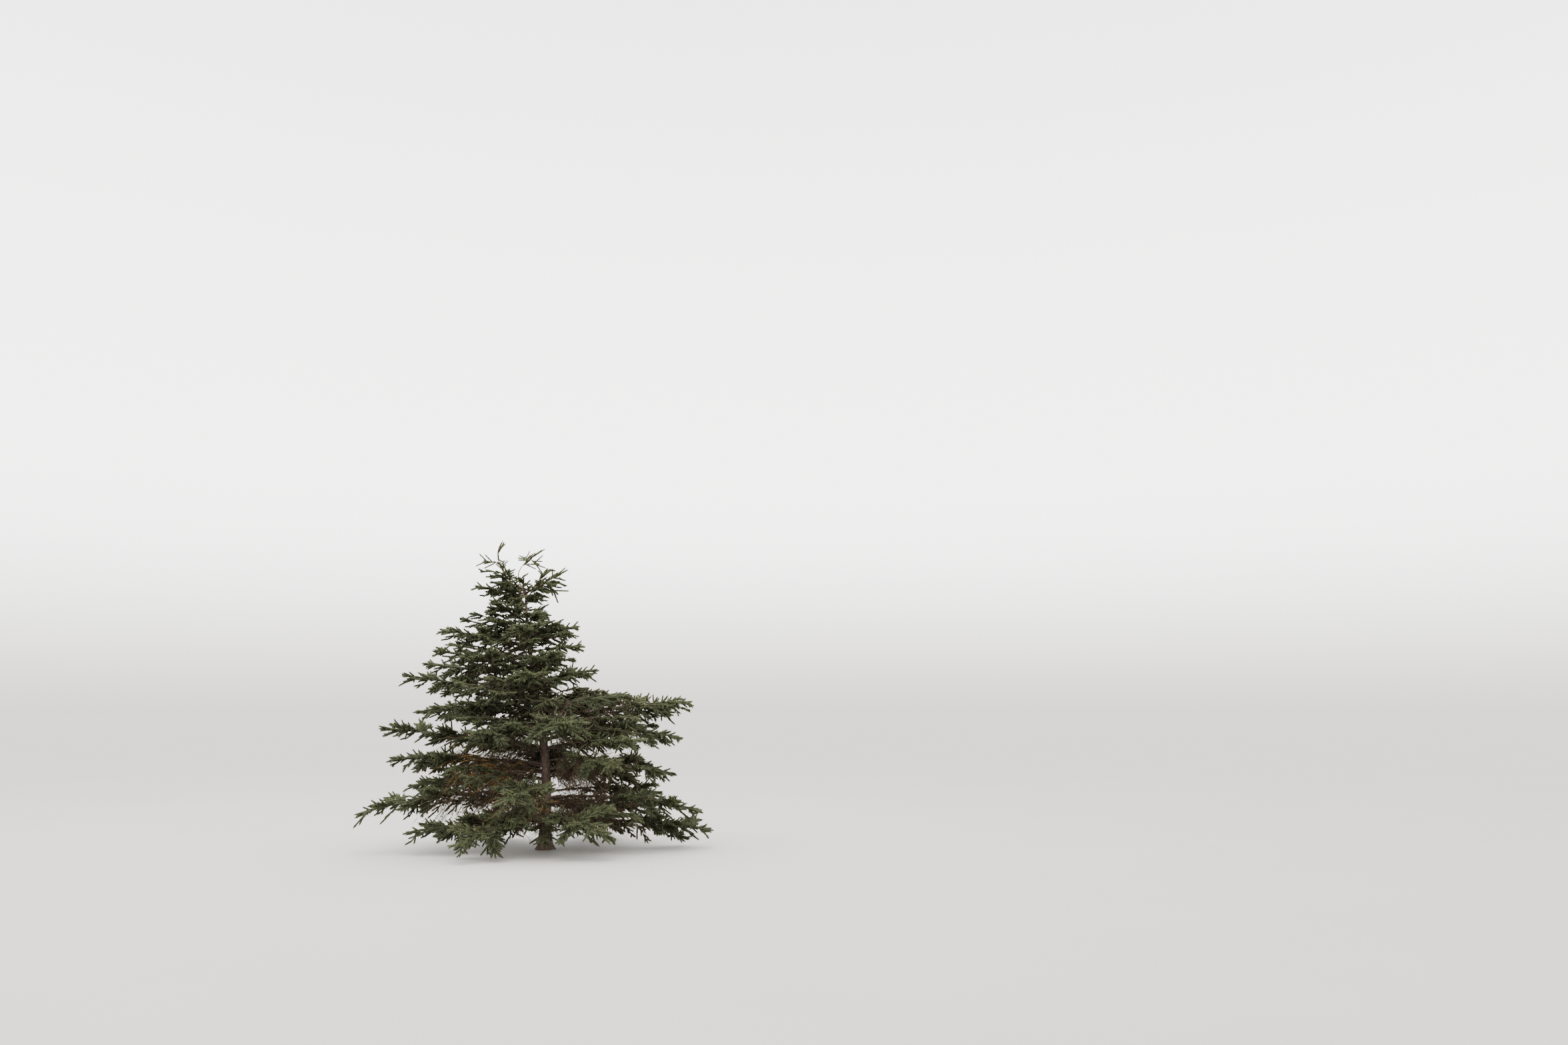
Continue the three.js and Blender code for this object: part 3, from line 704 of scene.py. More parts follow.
def grow_arm(arm):
    """The sprays of an arm, one on each stretch of its stem, with the teeth of the stem and theirs."""
    count = math.floor((1 - arm.bare) * arm.length / STEM_STRETCH + 0.5)
    count = min(max(count, STEM_FEWEST), STEM_MOST)
    stretches = count + STEM_LAST
    start = arm.bare + STEM_LIMB_GAP if arm.limb else arm.bare
    shares = lerp(start, STEM_LEAFY_END, np.arange(stretches + 1) / stretches)
    _, side, lift = arm.frame(shares)
    half = np.maximum(STEM_BARE_WIDTH * arm.radius(shares), STEM_COAT * (STEM_COAT_FADE - shares))
    spread = half[:, None, None] * (CORNERS[:, :1] * side[:, None] + CORNERS[:, 1:] * lift[:, None])
    rings = arm.point(shares)[:, None] + spread
    lines, stem_teeth, spray_teeth = [], [], []
    for number, row in np.ndindex(stretches, 4):
        share = (shares[number] + shares[number + 1]) / 2
        ways = arm.frame(share)
        middle = arm.point(share)
        corners = face_between(rings[number], rings[number + 1], row)
        uneven = 1 + STEM_TOOTH_SWAY * sway(arm.index, number, 50 + row)
        reach = STEM_TOOTH * arm.spread * (STEM_TOOTH_FADE - share) * uneven
        tip, outward = tooth_tip(corners, middle, ways[0], reach)
        if number < count and row == arm.faces[number % len(arm.faces)]:
            along = (number + 0.5) / count
            bulge = math.sin(math.pi * (SPRAY_BULGE_FROM + SPRAY_BULGE_BY * along))
            full = (SPRAY_LEAST_FULL + (1 - SPRAY_LEAST_FULL) * bulge) * (1 - SPRAY_SHORTENING * along)
            length = arm.spread * full * (1 + SPRAY_LENGTH_SWAY * sway(arm.index, number, 6))
            line, teeth = grow_spray(arm, number, middle, corners, ways, outward, length)
            lines += line
            spray_teeth += teeth
            if line:
                continue
        if stays_home(tip[None], arm):
            pitch = arm.length * (shares[1] - shares[0])
            stem_teeth.append((arm.index, middle, tip, ways[0], outward, pitch, row % 2 == 1))
    return lines, stem_teeth, spray_teeth


grown = zip(*(grow_arm(arm) for arm in main_arms))
spray_lines, stem_teeth, spray_teeth = (sum(found, []) for found in grown)

# Twigs
# Thin shoots of the last few years, which fork off the sprays and off the boughs' outer stretch where
# the solids have a tooth for each group of them. Smooth orange-brown bark shows on the sprays' middle
# lines alone: needles hide the rest, so that no wood is made for the thinnest.
SEED = 41
TOOTH_PARTS = ("arm", "middle", "tip", "forward", "outward", "pitch", "level")
LEVEL_TWIGS = 3
STEEP_TWIGS = 1
TWIG_PLACE_SWAY = (-0.2, 0.2)
TWIG_SWEEP = 0.75
TWIG_LENGTHS = (0.82, 1.04)
TWIG_LEAST = 0.085
TWIG_LEAST_SWAY = (0.9, 1.25)
TWIG_WANDER = 0.13
TWIG_WAVE = 0.1
LEADER_TWIG_WAVE = 0.3
TWIG_FLATNESS = [1, 1, 0.8]
TWIG_LIFT = 0.05
FORK_LENGTHS = (0.115, 0.165)
FORK_PLACES = (0.22, 0.52)
FORK_ANGLE = 40
FORK_SHARE = (0.55, 0.78)
FORK_TILT = 0.5
ANGLE_SWAY = (0.75, 1.2)
STEEP = 0.95
SLIGHT_WAVE = 0.08
SMALL_GAP = 0.058
SMALL_PLACE_SWAY = (0.1, 0.9)
SMALL_FROM = {"low": 0.34, "skirt": 0.34, "waist": 0.30, "mid": 0.22, "broad": 0.24}
SMALL_FROM_ABOVE = 0.08
SMALL_TO = 0.96
SMALL_ROLLS = (-12, 192, -48, 170, 14, 228)
SMALL_ROLL_SWAY = (-14, 14)
SMALL_ANGLES = (66, 34)
SMALL_ANGLE_SWAY = (-8, 8)
SMALL_LEAST_FULL = 0.55
SMALL_FULL = (0.25, 0.85)
SMALL_REACH = (0.34, 0.62)
SMALL_LEAST = 0.13
SMALL_TWIG_GAP = 0.042
SMALL_TWIG_PLACES = (0.12, 0.9)
SMALL_TWIG_SWAY = (0.2, 0.8)
LEAFY_STRETCH = 0.8
SMALL_TWIG_TILTS = (-0.55, 0.4)
SMALL_TWIGS = (0.085, 0.135)
SMALL_TWIG_SHARES = (1.05, 0.25)
SMALL_TWIG_ANGLE = 42
SMALL_TWIG_LIFT = 0.03
SMALL_TWIGS_FEWEST = 2
LEADER_SMALL = {"leader_left": (0.03, 0.52), "leader_right": (0.02, 0.72)}
LEADER_SMALL_GAP = 0.016
LEADER_ROLLS = (-95, 205, -55, -20, -120, 160, -80, 20)
LEADER_REACH = {"leader_left": (0.15, 0.30), "leader_right": (0.11, 0.20)}
LEADER_THICKNESS = (1.0, 0.8)
LEADER_SLIMS = (3.02, 3.16)
LEADER_LENGTHS = (0.11, 0.185)
LEADER_SHARE = 0.6
AXIS_SHOOT = 0.14
AXIS_LEAFY_FROM = 0.12
STEM_NEEDLES_FROM = 0.5
STEM_END_GAP = 0.018
TIP_GAPS = (-0.04, 0.03)
BOX_GAP = 0.022
FAN_ANGLES = (14, 44)
FAN_TILTS = (-0.45, 0.4)
FAN_LENGTHS = (0.07, 0.17)
FAN_SHORTENED = (0.82, 1.0)
FAN_LIFT = 0.04
SPRAY_FAN = 3
SPRAY_FAN_GAPS = (0.07, 0.13)
SPRAY_FAN_SHARES = (0.2, 0.95)
ARM_FAN = 7
ARM_FAN_GAPS = (0.06, 0.19)
ARM_FAN_SHARE = 0.97
LEADER_FAN = 3
SPRAY_WOOD = {"rings": 8, "radii": (0.0042, 0.0018), "sides": 4}
SMALL_SPRAY_WOOD = {"rings": 4, "radii": (0.0034, 0.0018), "sides": 3}
TWIG_BARK = dict(
    light=(0.290, 0.165, 0.085, 1), dark=(0.130, 0.070, 0.038, 1), flakes=160, cover=0.15, bump=0.0006
)

random = np.random.default_rng(SEED)


def wander(count):
    """A random step for each, between -1 and 1 along every axis."""
    return random.uniform(-1, 1, (count, 3))


def numbered(counts):
    """For owners that have so many each: the owner of every single one, and its number there."""
    owner = np.repeat(np.arange(len(counts)), counts)
    return owner, np.arange(len(owner)) - np.repeat(np.cumsum(counts) - counts, counts)


def across_of(forward):
    """A direction square to each of the given ones, and level unless they stand upright."""
    steep = np.abs(forward[:, 2:]) > STEEP
    return unit(np.cross(np.where(steep, [1.0, 0.0, 0.0], UP), forward))


def shoots_of(start, step, bend, arm, thick=1.0):
    """A group of shoots as arrays, with the number of the arm that each grows on."""
    count = len(start)
    return {
        "start": np.asarray(start, float),
        "step": np.asarray(step, float),
        "bend": np.asarray(bend, float) * np.ones((count, 1)),
        "arm": np.asarray(arm) * np.ones(count, int),
        "thick": np.asarray(thick) * np.ones(count),
    }


def gathered(groups):
    """Several groups of shoots as one."""
    return {key: np.concatenate([group[key] for group in groups]) for key in groups[0]}


def chosen(shoots, which):
    """The shoots that a mask or some numbers pick."""
    return {key: values[which] for key, values in shoots.items()}


def point_on(shoots, t):
    """The point a share t of the way along each shoot: start + step t + bend t2."""
    return shoots["start"] + shoots["step"] * t + shoots["bend"] * t**2


def lengths_of(shoots):
    """The straight distance from each shoot's start to its tip."""
    return np.linalg.norm(shoots["step"] + shoots["bend"], axis=1)


def twig_shapes(shoots, places, radii, sides=3):
    """Slim closed tubes, one for each shoot: a ring of each radius at each place from 0 at the start
    to 1 at the tip, and a point at the start and at the tip."""
    forward = unit(shoots["step"])
    across = across_of(forward)
    lift = np.cross(forward, across)
    angles = (np.arange(sides) * 2 * np.pi / sides)[:, None]
    ring = turned(angles, across[:, None], lift[:, None])
    lines = chosen(shoots, np.s_[:, None])
    widths = np.asarray(radii)[:, None] * lines["thick"][..., None]
    centres = point_on(lines, np.asarray(places, float)[:, None])
    wall = centres[:, :, None] + widths[:, :, None] * ring[:, None]
    count = len(wall)
    vertices = np.concatenate([wall.reshape(count, -1, 3), lines["start"], point_on(lines, 1)], axis=1)
    starts = np.arange(count)[:, None, None] * vertices.shape[1]
    return vertices.reshape(-1, 3), (tube_triangles(len(places), sides) + starts).reshape(-1, 3)


def wood_shapes(lines, rings, radii, sides):
    """The wood of each line, which tapers evenly from the first radius to the last."""
    return twig_shapes(lines, np.linspace(0, 1, rings), np.linspace(*radii, rings), sides)


def inside_solids(shoots):
    """True for the shoots whose needles stay within the solids' box and off the ground."""
    tip = point_on(shoots, 1)
    low, high = np.array(solid_box)
    return np.all((tip > low + BOX_GAP) & (tip < high - BOX_GAP), axis=1)


def within_reach(shoots):
    """The shoots cut back to where their arm ends, without those that would lose half their length."""
    ends = np.array([arm.point(1.0) for arm in all_arms])[shoots["arm"]]
    ways = np.array([arm.frame(1.0)[0] for arm in all_arms])[shoots["arm"]]
    out = shoots["step"] + shoots["bend"]
    past = np.sum((shoots["start"] + out - ends) * ways, axis=1) + random.uniform(*TIP_GAPS, len(out))
    gain = np.maximum(np.sum(out * ways, axis=1), 1e-6)
    share = 1 - np.clip(past, 0, None) / gain
    kept = share > 0.5
    share = np.minimum(share, 1)[:, None]
    return chosen({**shoots, "step": shoots["step"] * share, "bend": shoots["bend"] * share}, kept)


def side_twigs(teeth):
    """Twigs spread evenly along each tooth's stretch. Each reaches for the tooth's tip, a little
    shorter or longer and to one side, but none is shorter than a year's growth."""
    leader = teeth["arm"] >= len(boughs)
    picked = teeth["level"] * (chance(teeth["arm"], np.arange(len(leader)), 8) < LEADER_SHARE)
    which, number = numbered(np.where(leader, picked, np.where(teeth["level"], LEVEL_TWIGS, STEEP_TWIGS)))
    count = len(which)
    tooth = chosen(teeth, which)
    siblings = np.bincount(which)[which]
    place = (number + 0.5 + random.uniform(*TWIG_PLACE_SWAY, count)) / siblings - 0.5
    start = tooth["middle"] + place[:, None] * tooth["pitch"][:, None] * tooth["forward"]
    to_tip = tooth["tip"] - tooth["middle"]
    out = unit(unit(to_tip) + TWIG_SWEEP * tooth["forward"])
    reach = np.linalg.norm(to_tip, axis=1) * random.uniform(*TWIG_LENGTHS, count)
    least = TWIG_LEAST * random.uniform(*TWIG_LEAST_SWAY, count)
    reach = np.where(leader[which], random.uniform(*LEADER_LENGTHS, count), np.maximum(reach, least))
    out = unit(out + TWIG_WANDER * wander(count) * TWIG_FLATNESS)
    wave = np.where(leader[which], LEADER_TWIG_WAVE, TWIG_WAVE)[:, None]
    bend = reach[:, None] * (wave * wander(count) + TWIG_LIFT * UP)
    plane = unit(np.cross(tooth["forward"], tooth["outward"]))
    return shoots_of(start, out * reach[:, None] - bend, bend, tooth["arm"]), plane


def forks(twigs, plane):
    """The side shoots of the longer twigs: one where a twig passes the first length, and another on
    its other side where it passes the second."""
    length = lengths_of(twigs)
    side = random.choice([-1, 1], len(length))
    made = []
    for turn, least in zip((1, -1), FORK_LENGTHS):
        which = np.flatnonzero((length > least) & (twigs["arm"] < len(boughs)))
        count = len(which)
        twig = chosen(twigs, which)
        start = point_on(twig, random.uniform(*FORK_PLACES, count)[:, None])
        forward = unit(twig["step"])
        normal = unit(plane[which] + FORK_TILT * wander(count))
        sideways = unit(np.cross(normal, forward)) * turn * side[which][:, None]
        angle = math.radians(FORK_ANGLE) * random.uniform(*ANGLE_SWAY, count)[:, None]
        reach = (length[which] * random.uniform(*FORK_SHARE, count))[:, None]
        bend = SLIGHT_WAVE * reach * wander(count)
        made.append(shoots_of(start, turned(angle, forward, sideways) * reach - bend, bend, twig["arm"]))
    return gathered(made)


def ways_off(arm, share, angle, roll, hand=1):
    """Directions that leave an arm at shares of it: turned off its own by an angle, and rolled about it
    from the level side on one hand or the other."""
    forward, side, lift = arm.frame(share)
    sideways = turned(np.radians(roll)[:, None], hand * side, lift)
    return turned(np.radians(angle)[:, None], forward, sideways)


def small_sprays(arm):
    """Short sprays all along an arm, between those of the solids, that go to its sides and a little
    up or down by turns, flatter against it towards its tip."""
    first, last = LEADER_SMALL.get(arm.name, (SMALL_FROM.get(arm.tier, SMALL_FROM_ABOVE), SMALL_TO))
    count = int((last - first) * arm.length / (LEADER_SMALL_GAP if arm.leader else SMALL_GAP))
    number = np.arange(count)
    share = lerp(first, last, (number + random.uniform(*SMALL_PLACE_SWAY, count)) / count)
    rolls = np.array(LEADER_ROLLS if arm.leader else SMALL_ROLLS)
    roll = rolls[number % len(rolls)] + random.uniform(*SMALL_ROLL_SWAY, count)
    angle = lerp(*SMALL_ANGLES, share) + random.uniform(*SMALL_ANGLE_SWAY, count)
    full = SMALL_LEAST_FULL + (1 - SMALL_LEAST_FULL) * np.sin(np.pi * np.clip(share, *SMALL_FULL))
    reach = np.maximum(arm.spread * full * random.uniform(*SMALL_REACH, count), SMALL_LEAST)[:, None]
    if arm.leader:
        reach = random.uniform(*LEADER_REACH[arm.name], count)[:, None]
    out = ways_off(arm, share, angle, roll)
    return shoots_of(arm.point(share), out * reach, -DROOP * reach * UP, arm.index)


def twigs_along(lines):
    """Twigs to the left and right of each line by turns, in its level plane or a little off it."""
    leafy = LEAFY_STRETCH * lengths_of(lines)
    counts = np.maximum(np.rint(leafy / SMALL_TWIG_GAP), SMALL_TWIGS_FEWEST).astype(int)
    which, number = numbered(counts)
    count = len(which)
    place = (number + random.uniform(*SMALL_TWIG_SWAY, count)) / counts[which]
    place = lerp(*SMALL_TWIG_PLACES, place)
    line = chosen(lines, which)
    forward = unit(line["step"])
    side = across_of(forward) * np.where((number + which) % 2 == 0, 1, -1)[:, None]
    side = unit(side + UP * random.uniform(*SMALL_TWIG_TILTS, count)[:, None])
    angle = np.radians(SMALL_TWIG_ANGLE * random.uniform(*ANGLE_SWAY, count))[:, None]
    shorter = SMALL_TWIG_SHARES[0] - SMALL_TWIG_SHARES[1] * place
    length = (random.uniform(*SMALL_TWIGS, count) * shorter)[:, None]
    bend = length * (SLIGHT_WAVE * wander(count) + SMALL_TWIG_LIFT * UP)
    step = turned(angle, forward, side) * length - bend
    return shoots_of(point_on(line, place[:, None]), step, bend, line["arm"])


def coated_axes(lines):
    """The outer stretch of each line, cut into shoots of about one year's length. The stretch between
    two shares is a shoot of its own, with the line's slope at the first share."""
    reach = np.linalg.norm(lines["step"], axis=1)
    years = np.maximum(np.rint((1 - AXIS_LEAFY_FROM) * reach / AXIS_SHOOT), 1).astype(int)
    which, year = numbered(years)
    line = chosen(lines, which)
    first = lerp(AXIS_LEAFY_FROM, 1, year / years[which])[:, None]
    stretch = lerp(AXIS_LEAFY_FROM, 1, (year + 1) / years[which])[:, None] - first
    step = (line["step"] + 2 * line["bend"] * first) * stretch
    return {**line, "start": point_on(line, first), "step": step, "bend": line["bend"] * stretch**2}


def coated_stem(arm):
    """The last years' growth of an arm itself, as shoots along its curve."""
    start = arm.bare if arm.leader else STEM_NEEDLES_FROM
    years = max(2, round((1 - start) * arm.length / AXIS_SHOOT))
    points = arm.point(np.linspace(start, 1 - STEM_END_GAP / arm.length, years + 1))
    return shoots_of(points[:-1], np.diff(points, axis=0), np.zeros(3), arm.index)


def fan_ways(forward, lift, count):
    """Directions that open from each line's own like a hand, turned to one side and less up or down:
    the line of each, that line's direction, and its own."""
    which, number = numbered(np.full(len(forward), count))
    along = forward[which]
    side = unit(np.cross(lift[which], along)) * np.where(number % 2 == 0, 1, -1)[:, None]
    turn = np.radians(lerp(*FAN_ANGLES, (number + random.uniform(0, 1, len(which))) / count))[:, None]
    tilt = random.uniform(*FAN_TILTS, len(which))[:, None]
    return which, along, unit(turned(turn, along, side + tilt * lift[which]))


def fan_shoots(start, tip, along, out, arm):
    """A fan's shoots from where they start, none of them past their line's tip."""
    left = np.sum((tip - start) * along, axis=1, keepdims=True)
    reach = np.clip(left / np.sum(out * along, axis=1, keepdims=True), *FAN_LENGTHS)
    reach = reach * random.uniform(*FAN_SHORTENED, len(reach))[:, None]
    return shoots_of(start, out * reach, FAN_LIFT * reach * UP, arm)


def fans(lines):
    """The fans of shoots at the tips of all sprays and arms."""
    forward = unit(lines["step"] + 2 * lines["bend"])
    which, along, out = fan_ways(forward, np.cross(forward, across_of(forward)), SPRAY_FAN)
    line = chosen(lines, which)
    gap = random.uniform(*SPRAY_FAN_GAPS, len(which))
    t = np.clip(1 - gap / np.linalg.norm(line["step"], axis=1), *SPRAY_FAN_SHARES)[:, None]
    made = [fan_shoots(point_on(line, t), point_on(line, 1), along, out, line["arm"])]
    for arm in all_arms:
        forward, _, lift = (direction[None] for direction in arm.frame(ARM_FAN_SHARE))
        which, along, out = fan_ways(forward, lift, LEADER_FAN if arm.leader else ARM_FAN)
        share = 1 - random.uniform(*ARM_FAN_GAPS, len(which)) / arm.length
        made.append(fan_shoots(arm.point(share), arm.point(1.0), along, out, arm.index))
    return gathered(made)


teeth = dict(zip(TOOTH_PARTS, map(np.array, zip(*stem_teeth, *spray_teeth))))
twigs, twig_planes = side_twigs(teeth)
fork_shoots = forks(twigs, twig_planes)
main_lines = shoots_of(*map(np.array, zip(*spray_lines)))
small_lines = gathered([small_sprays(arm) for arm in all_arms if arm.name != "leader_middle"])
small_lines = within_reach(chosen(small_lines, inside_solids(small_lines)))
leafy_lines = [coated_axes(gathered([main_lines, small_lines])), *(coated_stem(arm) for arm in all_arms)]
thin_shoots = gathered([twigs, fork_shoots, twigs_along(small_lines), fans(main_lines)])
thin_shoots = within_reach(chosen(thin_shoots, inside_solids(thin_shoots)))
shoots = gathered([thin_shoots, *leafy_lines])
on_leader = (shoots["arm"] >= len(boughs)) & (shoots["arm"] < len(main_arms))
rise = (shoots["start"][:, 2] - LEADER_SLIMS[0]) / (LEADER_SLIMS[1] - LEADER_SLIMS[0])
shoots["thick"] = np.where(on_leader, lerp(*LEADER_THICKNESS, np.clip(rise, 0, 1)), 1.0)
twig_bark = add_material("twig_bark", bark_paint, **TWIG_BARK)
wood = [wood_shapes(main_lines, **SPRAY_WOOD), wood_shapes(small_lines, **SMALL_SPRAY_WOOD)]
add_piece("live_twigs", joined(wood), twig_bark)

# Needles
# Short, stiff, four-sided needles that stand all round each shoot and lean towards its tip, so that
# from a few steps away a shoot looks like a soft finger. Here each outer one is a folded kite of two
# faces, and a slim streaked tube along the shoot stands for the many needles behind them.
NEEDLES_PER_METRE = (60, 262)
NEEDLES_FEWEST = 6
GOLDEN_ANGLE = math.pi * (3 - math.sqrt(5))
OPEN_SECTORS = 24
OPEN_LAYER = 0.15
OPEN_SHARES = (0.3, 0.8)
NEEDLE_LENGTH = 0.0155
NEEDLE_WIDTH = 0.0048
NEEDLE_FOLD = 0.3
NEEDLE_LEAN = (48, 27)
NEEDLE_LEAN_POWER = 1.6
NEEDLE_LEAN_SWAY = (-8, 8)
NEEDLE_TURN_SWAY = (-0.3, 0.3)
NEEDLE_SIZE_AT_ENDS = 0.82
NEEDLE_SIZE_ON_TOP = 0.24
NEEDLE_SIZE_SWAY = (0.88, 1.1)
NEEDLE_BELLY = 0.42
NEEDLE_ROOT = 0.7
NEEDLE_KITE = np.array([[0, 1, 2], [0, 2, 3]])
CORE_PLACES = (0.17, 0.88)
CORE_RADII = (0.0110, 0.0094)
CORE_SIDES = 3
CORE_SLIMMEST = 0.2
# The inner needles' dark is painted shade in the gaps between needles; their pale is needle colour.
CORE_COLOURS = {"pale": (0.112, 0.128, 0.062, 1), "dark": (0.030, 0.033, 0.019, 1)}
# Cores paler on a shoot's upper side and darker below: painted light and painted shade.
CORE_SIDES_PAINTED_LIGHT = (0.40, 1.0)
# Cores paler on shoots high in the brightness order: partly new growth, partly painted light.
CORE_SHOOTS_PALE = (0.45, 1.25)
# Needles paler on a shoot's upper side and darker below: painted light and painted shade.
NEEDLE_SIDES_PAINTED_LIGHT = (0.35, 1.0)
STREAKS_PER_METRE = 560
STREAK_STRETCH = 0.88
MINOR_OUTER = 0.66
NEAREST_POINTS = 9
# Shoots above their bough and higher up rank paler: painted light. Below and low down: painted shade.
PAINTED_LIGHT_ABOVE_BOUGH = 4.5
PAINTED_LIGHT_HIGHER_UP = 0.12
FRESHER_LEADER = 0.4
FRESHER_SLIM = 5
FRESHNESS_SWAY = 0.35
# Dealt by brightness order: the pale shades partly painted light, the dark ones partly painted shade.
SHADES = {
    # name: share of the shoots up to this one, and colours
    "old": (0.06, {"pale": (0.105, 0.092, 0.044, 1), "dark": (0.046, 0.041, 0.022, 1)}),
    "deep": (0.38, {"pale": (0.076, 0.090, 0.046, 1), "dark": (0.031, 0.038, 0.021, 1)}),
    "green": (0.72, {"pale": (0.130, 0.150, 0.073, 1), "dark": (0.052, 0.062, 0.032, 1)}),
    "fresh": (1.00, {"pale": (0.200, 0.225, 0.106, 1), "dark": (0.088, 0.101, 0.049, 1)}),
}
TIERS = {
    "low": ("low", "skirt"),
    "middle": ("waist", "mid", "broad"),
    "upper": ("upper", "shoulder", "high"),
    "top": ("crown", "top", "leader"),
}


def needle_shapes(shoots):
    """Needles on each shoot: roots wind up it by the golden angle, and each leans from its radial
    direction towards the shoot's, more so near the tip. Its kite is root, two edge points and tip.
    Gives back their shape and each point's paleness: painted light on top, painted shade below."""
    per_metre = lerp(*NEEDLES_PER_METRE, shoots["open"]) / shoots["thick"] ** 2
    counts = np.maximum(np.rint(lengths_of(shoots) * per_metre), NEEDLES_FEWEST).astype(int)
    owner, number = numbered(counts)
    t = ((number + 0.7) / counts[owner])[:, None]
    shoot = chosen(shoots, owner)
    thick = shoot["thick"][:, None]
    forward = unit(shoot["step"] + 2 * shoot["bend"] * t)
    across = across_of(forward)
    angle = (number * GOLDEN_ANGLE + owner)[:, None] + random.uniform(*NEEDLE_TURN_SWAY, t.shape)
    radial = turned(angle, across, np.cross(forward, across))
    lean = lerp(*NEEDLE_LEAN, t**NEEDLE_LEAN_POWER) + random.uniform(*NEEDLE_LEAN_SWAY, t.shape)
    out = turned(np.radians(lean), forward, radial)
    edge = np.cross(forward, radial)
    size = thick * (NEEDLE_SIZE_AT_ENDS + NEEDLE_SIZE_ON_TOP * np.sin(np.pi * t))
    size = size * random.uniform(*NEEDLE_SIZE_SWAY, t.shape)
    from_end = np.minimum(t / CORE_PLACES[0], (1 - t) / (1 - CORE_PLACES[1]))
    core = CORE_RADII[0] * thick * np.clip(from_end, CORE_SLIMMEST, 1)
    root = point_on(shoot, t) + NEEDLE_ROOT * core * radial
    belly = root + NEEDLE_BELLY * NEEDLE_LENGTH * size * out
    half = 0.5 * NEEDLE_WIDTH * size
    fold = belly + NEEDLE_FOLD * half * np.cross(out, edge)
    corners = [root, fold + half * edge, root + NEEDLE_LENGTH * size * out, fold - half * edge]
    starts = np.arange(len(owner))[:, None, None] * len(corners)
    # Painted light on the needles of a shoot's upper side, painted shade on those of its lower side.
    pale = lerp(*NEEDLE_SIDES_PAINTED_LIGHT, 0.5 + 0.5 * radial[:, 2])
    shape = np.stack(corners, axis=1).reshape(-1, 3), (NEEDLE_KITE + starts).reshape(-1, 3)
    return shape, np.repeat(pale, len(corners))


def core_paleness(vertices, paleness):
    """How pale each vertex of the inner needles is: its shoot's own paleness, times a factor that grows
    with its rise over its ring's middle by the ring's radius: painted light on top, painted shade below."""
    points = vertices.reshape(len(paleness), -1, 3)
    walls = points[:, :-2].reshape(len(points), len(CORE_PLACES), CORE_SIDES, 3)
    out = walls - walls.mean(axis=2, keepdims=True)
    rise = (out[..., 2] / np.linalg.norm(out, axis=-1)).reshape(len(points), -1)
    sides = lerp(*CORE_SIDES_PAINTED_LIGHT, 0.5 + 0.5 * np.pad(rise, ((0, 0), (0, 2))))
    return (sides * paleness[:, None]).ravel()


def give_attribute(piece, name, kind, field, values):
    """A value or a direction kept with each vertex of a piece."""
    attribute = piece.data.attributes.new(name, kind, "POINT")
    attribute.data.foreach_set(field, np.ascontiguousarray(values, np.float32).ravel())


def by_paleness(tree, share):
    """A share, less where the mesh says that it is less pale, which is mostly painted shade."""
    paleness = add_node(tree, "ShaderNodeAttribute", {}, attribute_name="paleness")["Fac"]
    return multiplied(tree, share, paleness)


def core_paint(tree, pale, dark):
    """The inner needles, seen between the outer ones: streaks along each shoot, with painted shade in the
    gaps. They are a noise that is stretched in the direction given with the mesh."""
    place = own_place(tree)
    along = add_node(tree, "ShaderNodeAttribute", {}, attribute_name="direction")["Vector"]
    far = add_node(tree, "ShaderNodeVectorMath", {0: place, 1: along}, operation="DOT_PRODUCT")["Value"]
    less = multiplied(tree, far, STREAK_STRETCH)
    shift = add_node(tree, "ShaderNodeVectorMath", {0: along, "Scale": less}, operation="SCALE")[0]
    squeezed = add_node(tree, "ShaderNodeVectorMath", {0: place, 1: shift}, operation="SUBTRACT")[0]
    streak = stepped(tree, noise(tree, squeezed, STREAKS_PER_METRE, detail=1), low=0.44, high=0.62)
    return {
        "Base Color": mixed(tree, by_paleness(tree, streak), dark, pale),
        "Roughness": ranged(tree, streak, start=0.95, end=0.75),
        "Specular IOR Level": 0.08,
        "Normal": bumped(tree, streak, strength=0.9, depth=0.002),
    }


def needle_group():
    """Waxy needles: darker and paler in turn over a few centimetres and a few needles, with the painted
    light and shade that the mesh's paleness gives.
    """
    group, given = new_group(
        "waxy_needles", {"Pale": "Color", "Dark": "Color"}, {"Color": "Color", "Roughness": "Float"}
    )
    place = own_place(group)
    single = noise(group, place, scale=190, detail=2)
    clumps = stepped(group, noise(group, place, scale=14, detail=3), low=0.2, high=0.6)
    share = by_paleness(group, multiplied(group, clumps, stepped(group, single, low=0.1, high=0.7)))
    out = {
        "Color": mixed(group, share, given["Dark"], given["Pale"]),
        "Roughness": ranged(group, single, start=0.6, end=0.85),
    }
    add_node(group, "NodeGroupOutput", out)
    return group


def needle_paint(tree, pale, dark):
    """Needles of one shade."""
    wax = add_node(tree, "ShaderNodeGroup", {"Pale": pale, "Dark": dark}, node_tree=waxy_needles)
    return {"Base Color": wax["Color"], "Roughness": wax["Roughness"], "Specular IOR Level": 0.18}


def in_the_open(shoots):
    """How near each shoot ends to the outside of the crown, as a share of the furthest reach from the
    trunk within its own sector and height, and 1 from the outer part on."""
    tip = point_on(shoots, 1)
    away = (tip - trunk_centre(tip[:, 2]))[:, :2]
    reach = np.linalg.norm(away, axis=1)
    sector = np.floor(np.arctan2(away[:, 1], away[:, 0]) / (2 * np.pi) * OPEN_SECTORS).astype(int)
    layer = np.floor(tip[:, 2] / OPEN_LAYER).astype(int)
    furthest = np.zeros((OPEN_SECTORS, layer.max() + 1))
    np.maximum.at(furthest, (sector % OPEN_SECTORS, layer), reach)
    share = reach / furthest[sector % OPEN_SECTORS, layer]
    return np.clip((share - OPEN_SHARES[0]) / (OPEN_SHARES[1] - OPEN_SHARES[0]), 0, 1)


